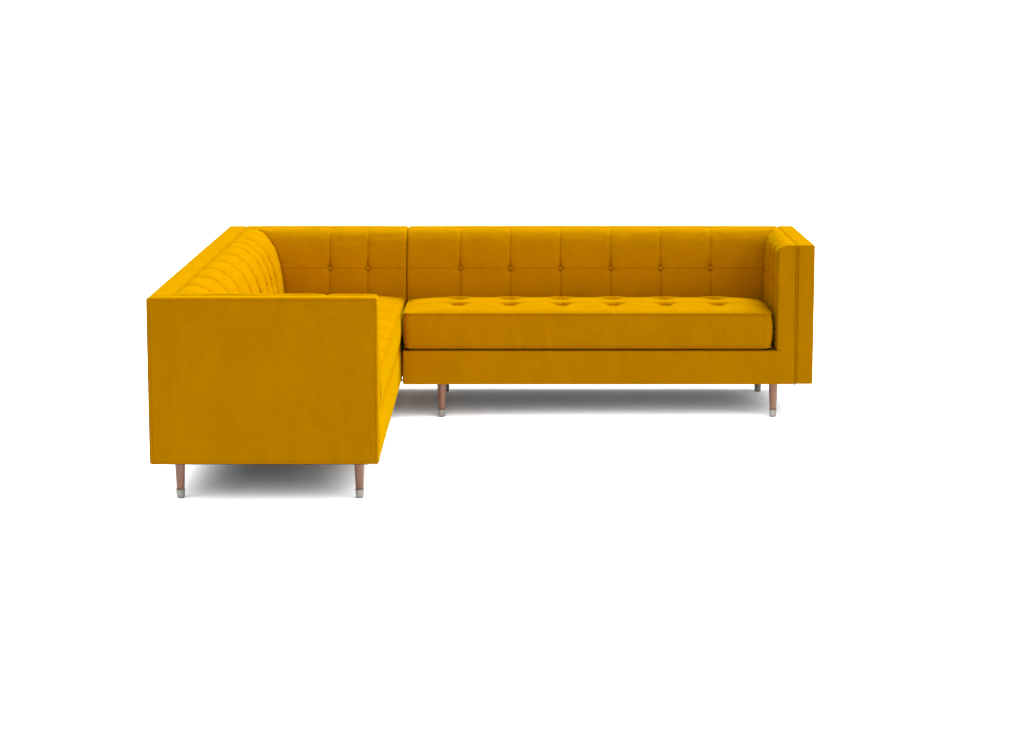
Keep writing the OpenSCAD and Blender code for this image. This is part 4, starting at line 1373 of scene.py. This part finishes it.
# %% [markdown]
# ## Floor
# The floor is a pale matt sheet, so wide that its far edge is never seen. It isn't part of
# the sofa, so it is marked as the stage.

# %% Floor
FLOOR_REACH = 400.0
scene = bpy.context.scene
floor_mesh = bpy.data.meshes.new("floor")
floor_mesh.from_pydata([(x * FLOOR_REACH, y * FLOOR_REACH, 0)
                        for x, y in ((-1, -1), (1, -1), (1, 1), (-1, 1))], [], [(0, 1, 2, 3)])
floor = bpy.data.objects.new("floor", floor_mesh)
scene.collection.objects.link(floor)
floor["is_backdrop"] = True
floor_paint, tree = new_material("floor_matt_white")
shader = add(tree, "ShaderNodeBsdfPrincipled",
             {"Base Color": dye("#d6d6d6"), "Roughness": 0.9, "Specular IOR Level": 0.1})
finish_material(tree, shader)
floor_mesh.materials.append(floor_paint)
print("floor:", 2 * FLOOR_REACH, "m across")

# %% [markdown]
# ## Soft surround
# A white surround gives the even light of a studio. It is seen as plain white, and it lights
# the sofa a little more from the right than from the left, which sets the long back off from
# the panels that face the front.

# %% Surround
SOFT_LEVEL = 0.87
SOFT_LEAN = (0.60, -0.09, 0.10)
SOFT_TINT = (1.0, 1.0, 1.0, 1.0)
world = bpy.data.worlds.new("surround")
scene.world = world
world.use_nodes = True
tree = world.node_tree
tree.nodes.clear()
seen = add(tree, "ShaderNodeBackground", {"Color": (1, 1, 1, 1), "Strength": 1.0})
heading = add(tree, "ShaderNodeTexCoord").outputs["Generated"]
lean = add(tree, "ShaderNodeVectorMath", {1: SOFT_LEAN}, {0: heading},
           operation="DOT_PRODUCT")
level = add(tree, "ShaderNodeMath", {1: SOFT_LEVEL}, {0: lean.outputs["Value"]},
            operation="ADD")
lit = add(tree, "ShaderNodeBackground", {"Color": SOFT_TINT},
          {"Strength": level.outputs[0]})
path_kind = add(tree, "ShaderNodeLightPath")
both = add(tree, "ShaderNodeMixShader", None,
           {0: path_kind.outputs["Is Camera Ray"], 1: lit.outputs[0], 2: seen.outputs[0]})
add(tree, "ShaderNodeOutputWorld", links={"Surface": both.outputs[0]})
print("surround:", world.name)

# %% [markdown]
# ## Lamps
# Two wide suns do the rest. One lights only the floor, from the front, and leaves a soft
# shadow under the sofa. The key lights only the sofa, from above and behind, so that the tops
# are bright and the fronts stay deep. One sun for both couldn't give a pale floor and deep
# fronts at once. The floor throws no bounced light, so the lower parts stay deep as well.

# %% Lamps


def sun(name, direction, strength, angle, colour, only):
    lamp = bpy.data.lights.new(name, "SUN")
    lamp.energy = strength
    lamp.color = colour
    lamp.angle = math.radians(angle)
    made = bpy.data.objects.new(name, lamp)
    scene.collection.objects.link(made)
    made.rotation_euler = Vector(direction).to_track_quat("Z", "Y").to_euler()
    made.light_linking.receiver_collection = only


sofa_parts = bpy.data.collections.new("sofa_parts")
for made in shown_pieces():
    sofa_parts.objects.link(made)
floor_only = bpy.data.collections.new("floor_only")
floor_only.objects.link(floor)
sun("floor_light", (0.05, -0.6, 1.0), 18.0, 105, (1, 1, 1), floor_only)
sun("key", (0.27, 0.70, 0.80), 4.15, 25, (0.95, 1.16, 0.9), sofa_parts)
floor.visible_diffuse = False

# %% [markdown]
# ## Camera
# The camera stands a little above eye height, ten metres in front, with a long lens, so the
# fronts keep nearly their true proportions and the near arm stays close to a true rectangle.

# %% Camera
EYE_PLACE = (0.0032, -10.3947, 1.9782)
EYE_DOWN = 9.02
eye = bpy.data.cameras.new("eye")
eye.lens = 85.0
eye.sensor_width = 36.0
eye.clip_end = 900.0
camera = bpy.data.objects.new("eye", eye)
scene.collection.objects.link(camera)
camera.location = EYE_PLACE
camera.rotation_euler = (math.radians(90 - EYE_DOWN), 0, 0)
scene.camera = camera
scene.view_settings.view_transform = "Standard"
scene.view_settings.look = "None"
print("lens mm:", eye.lens, "looking down by", EYE_DOWN, "degrees")
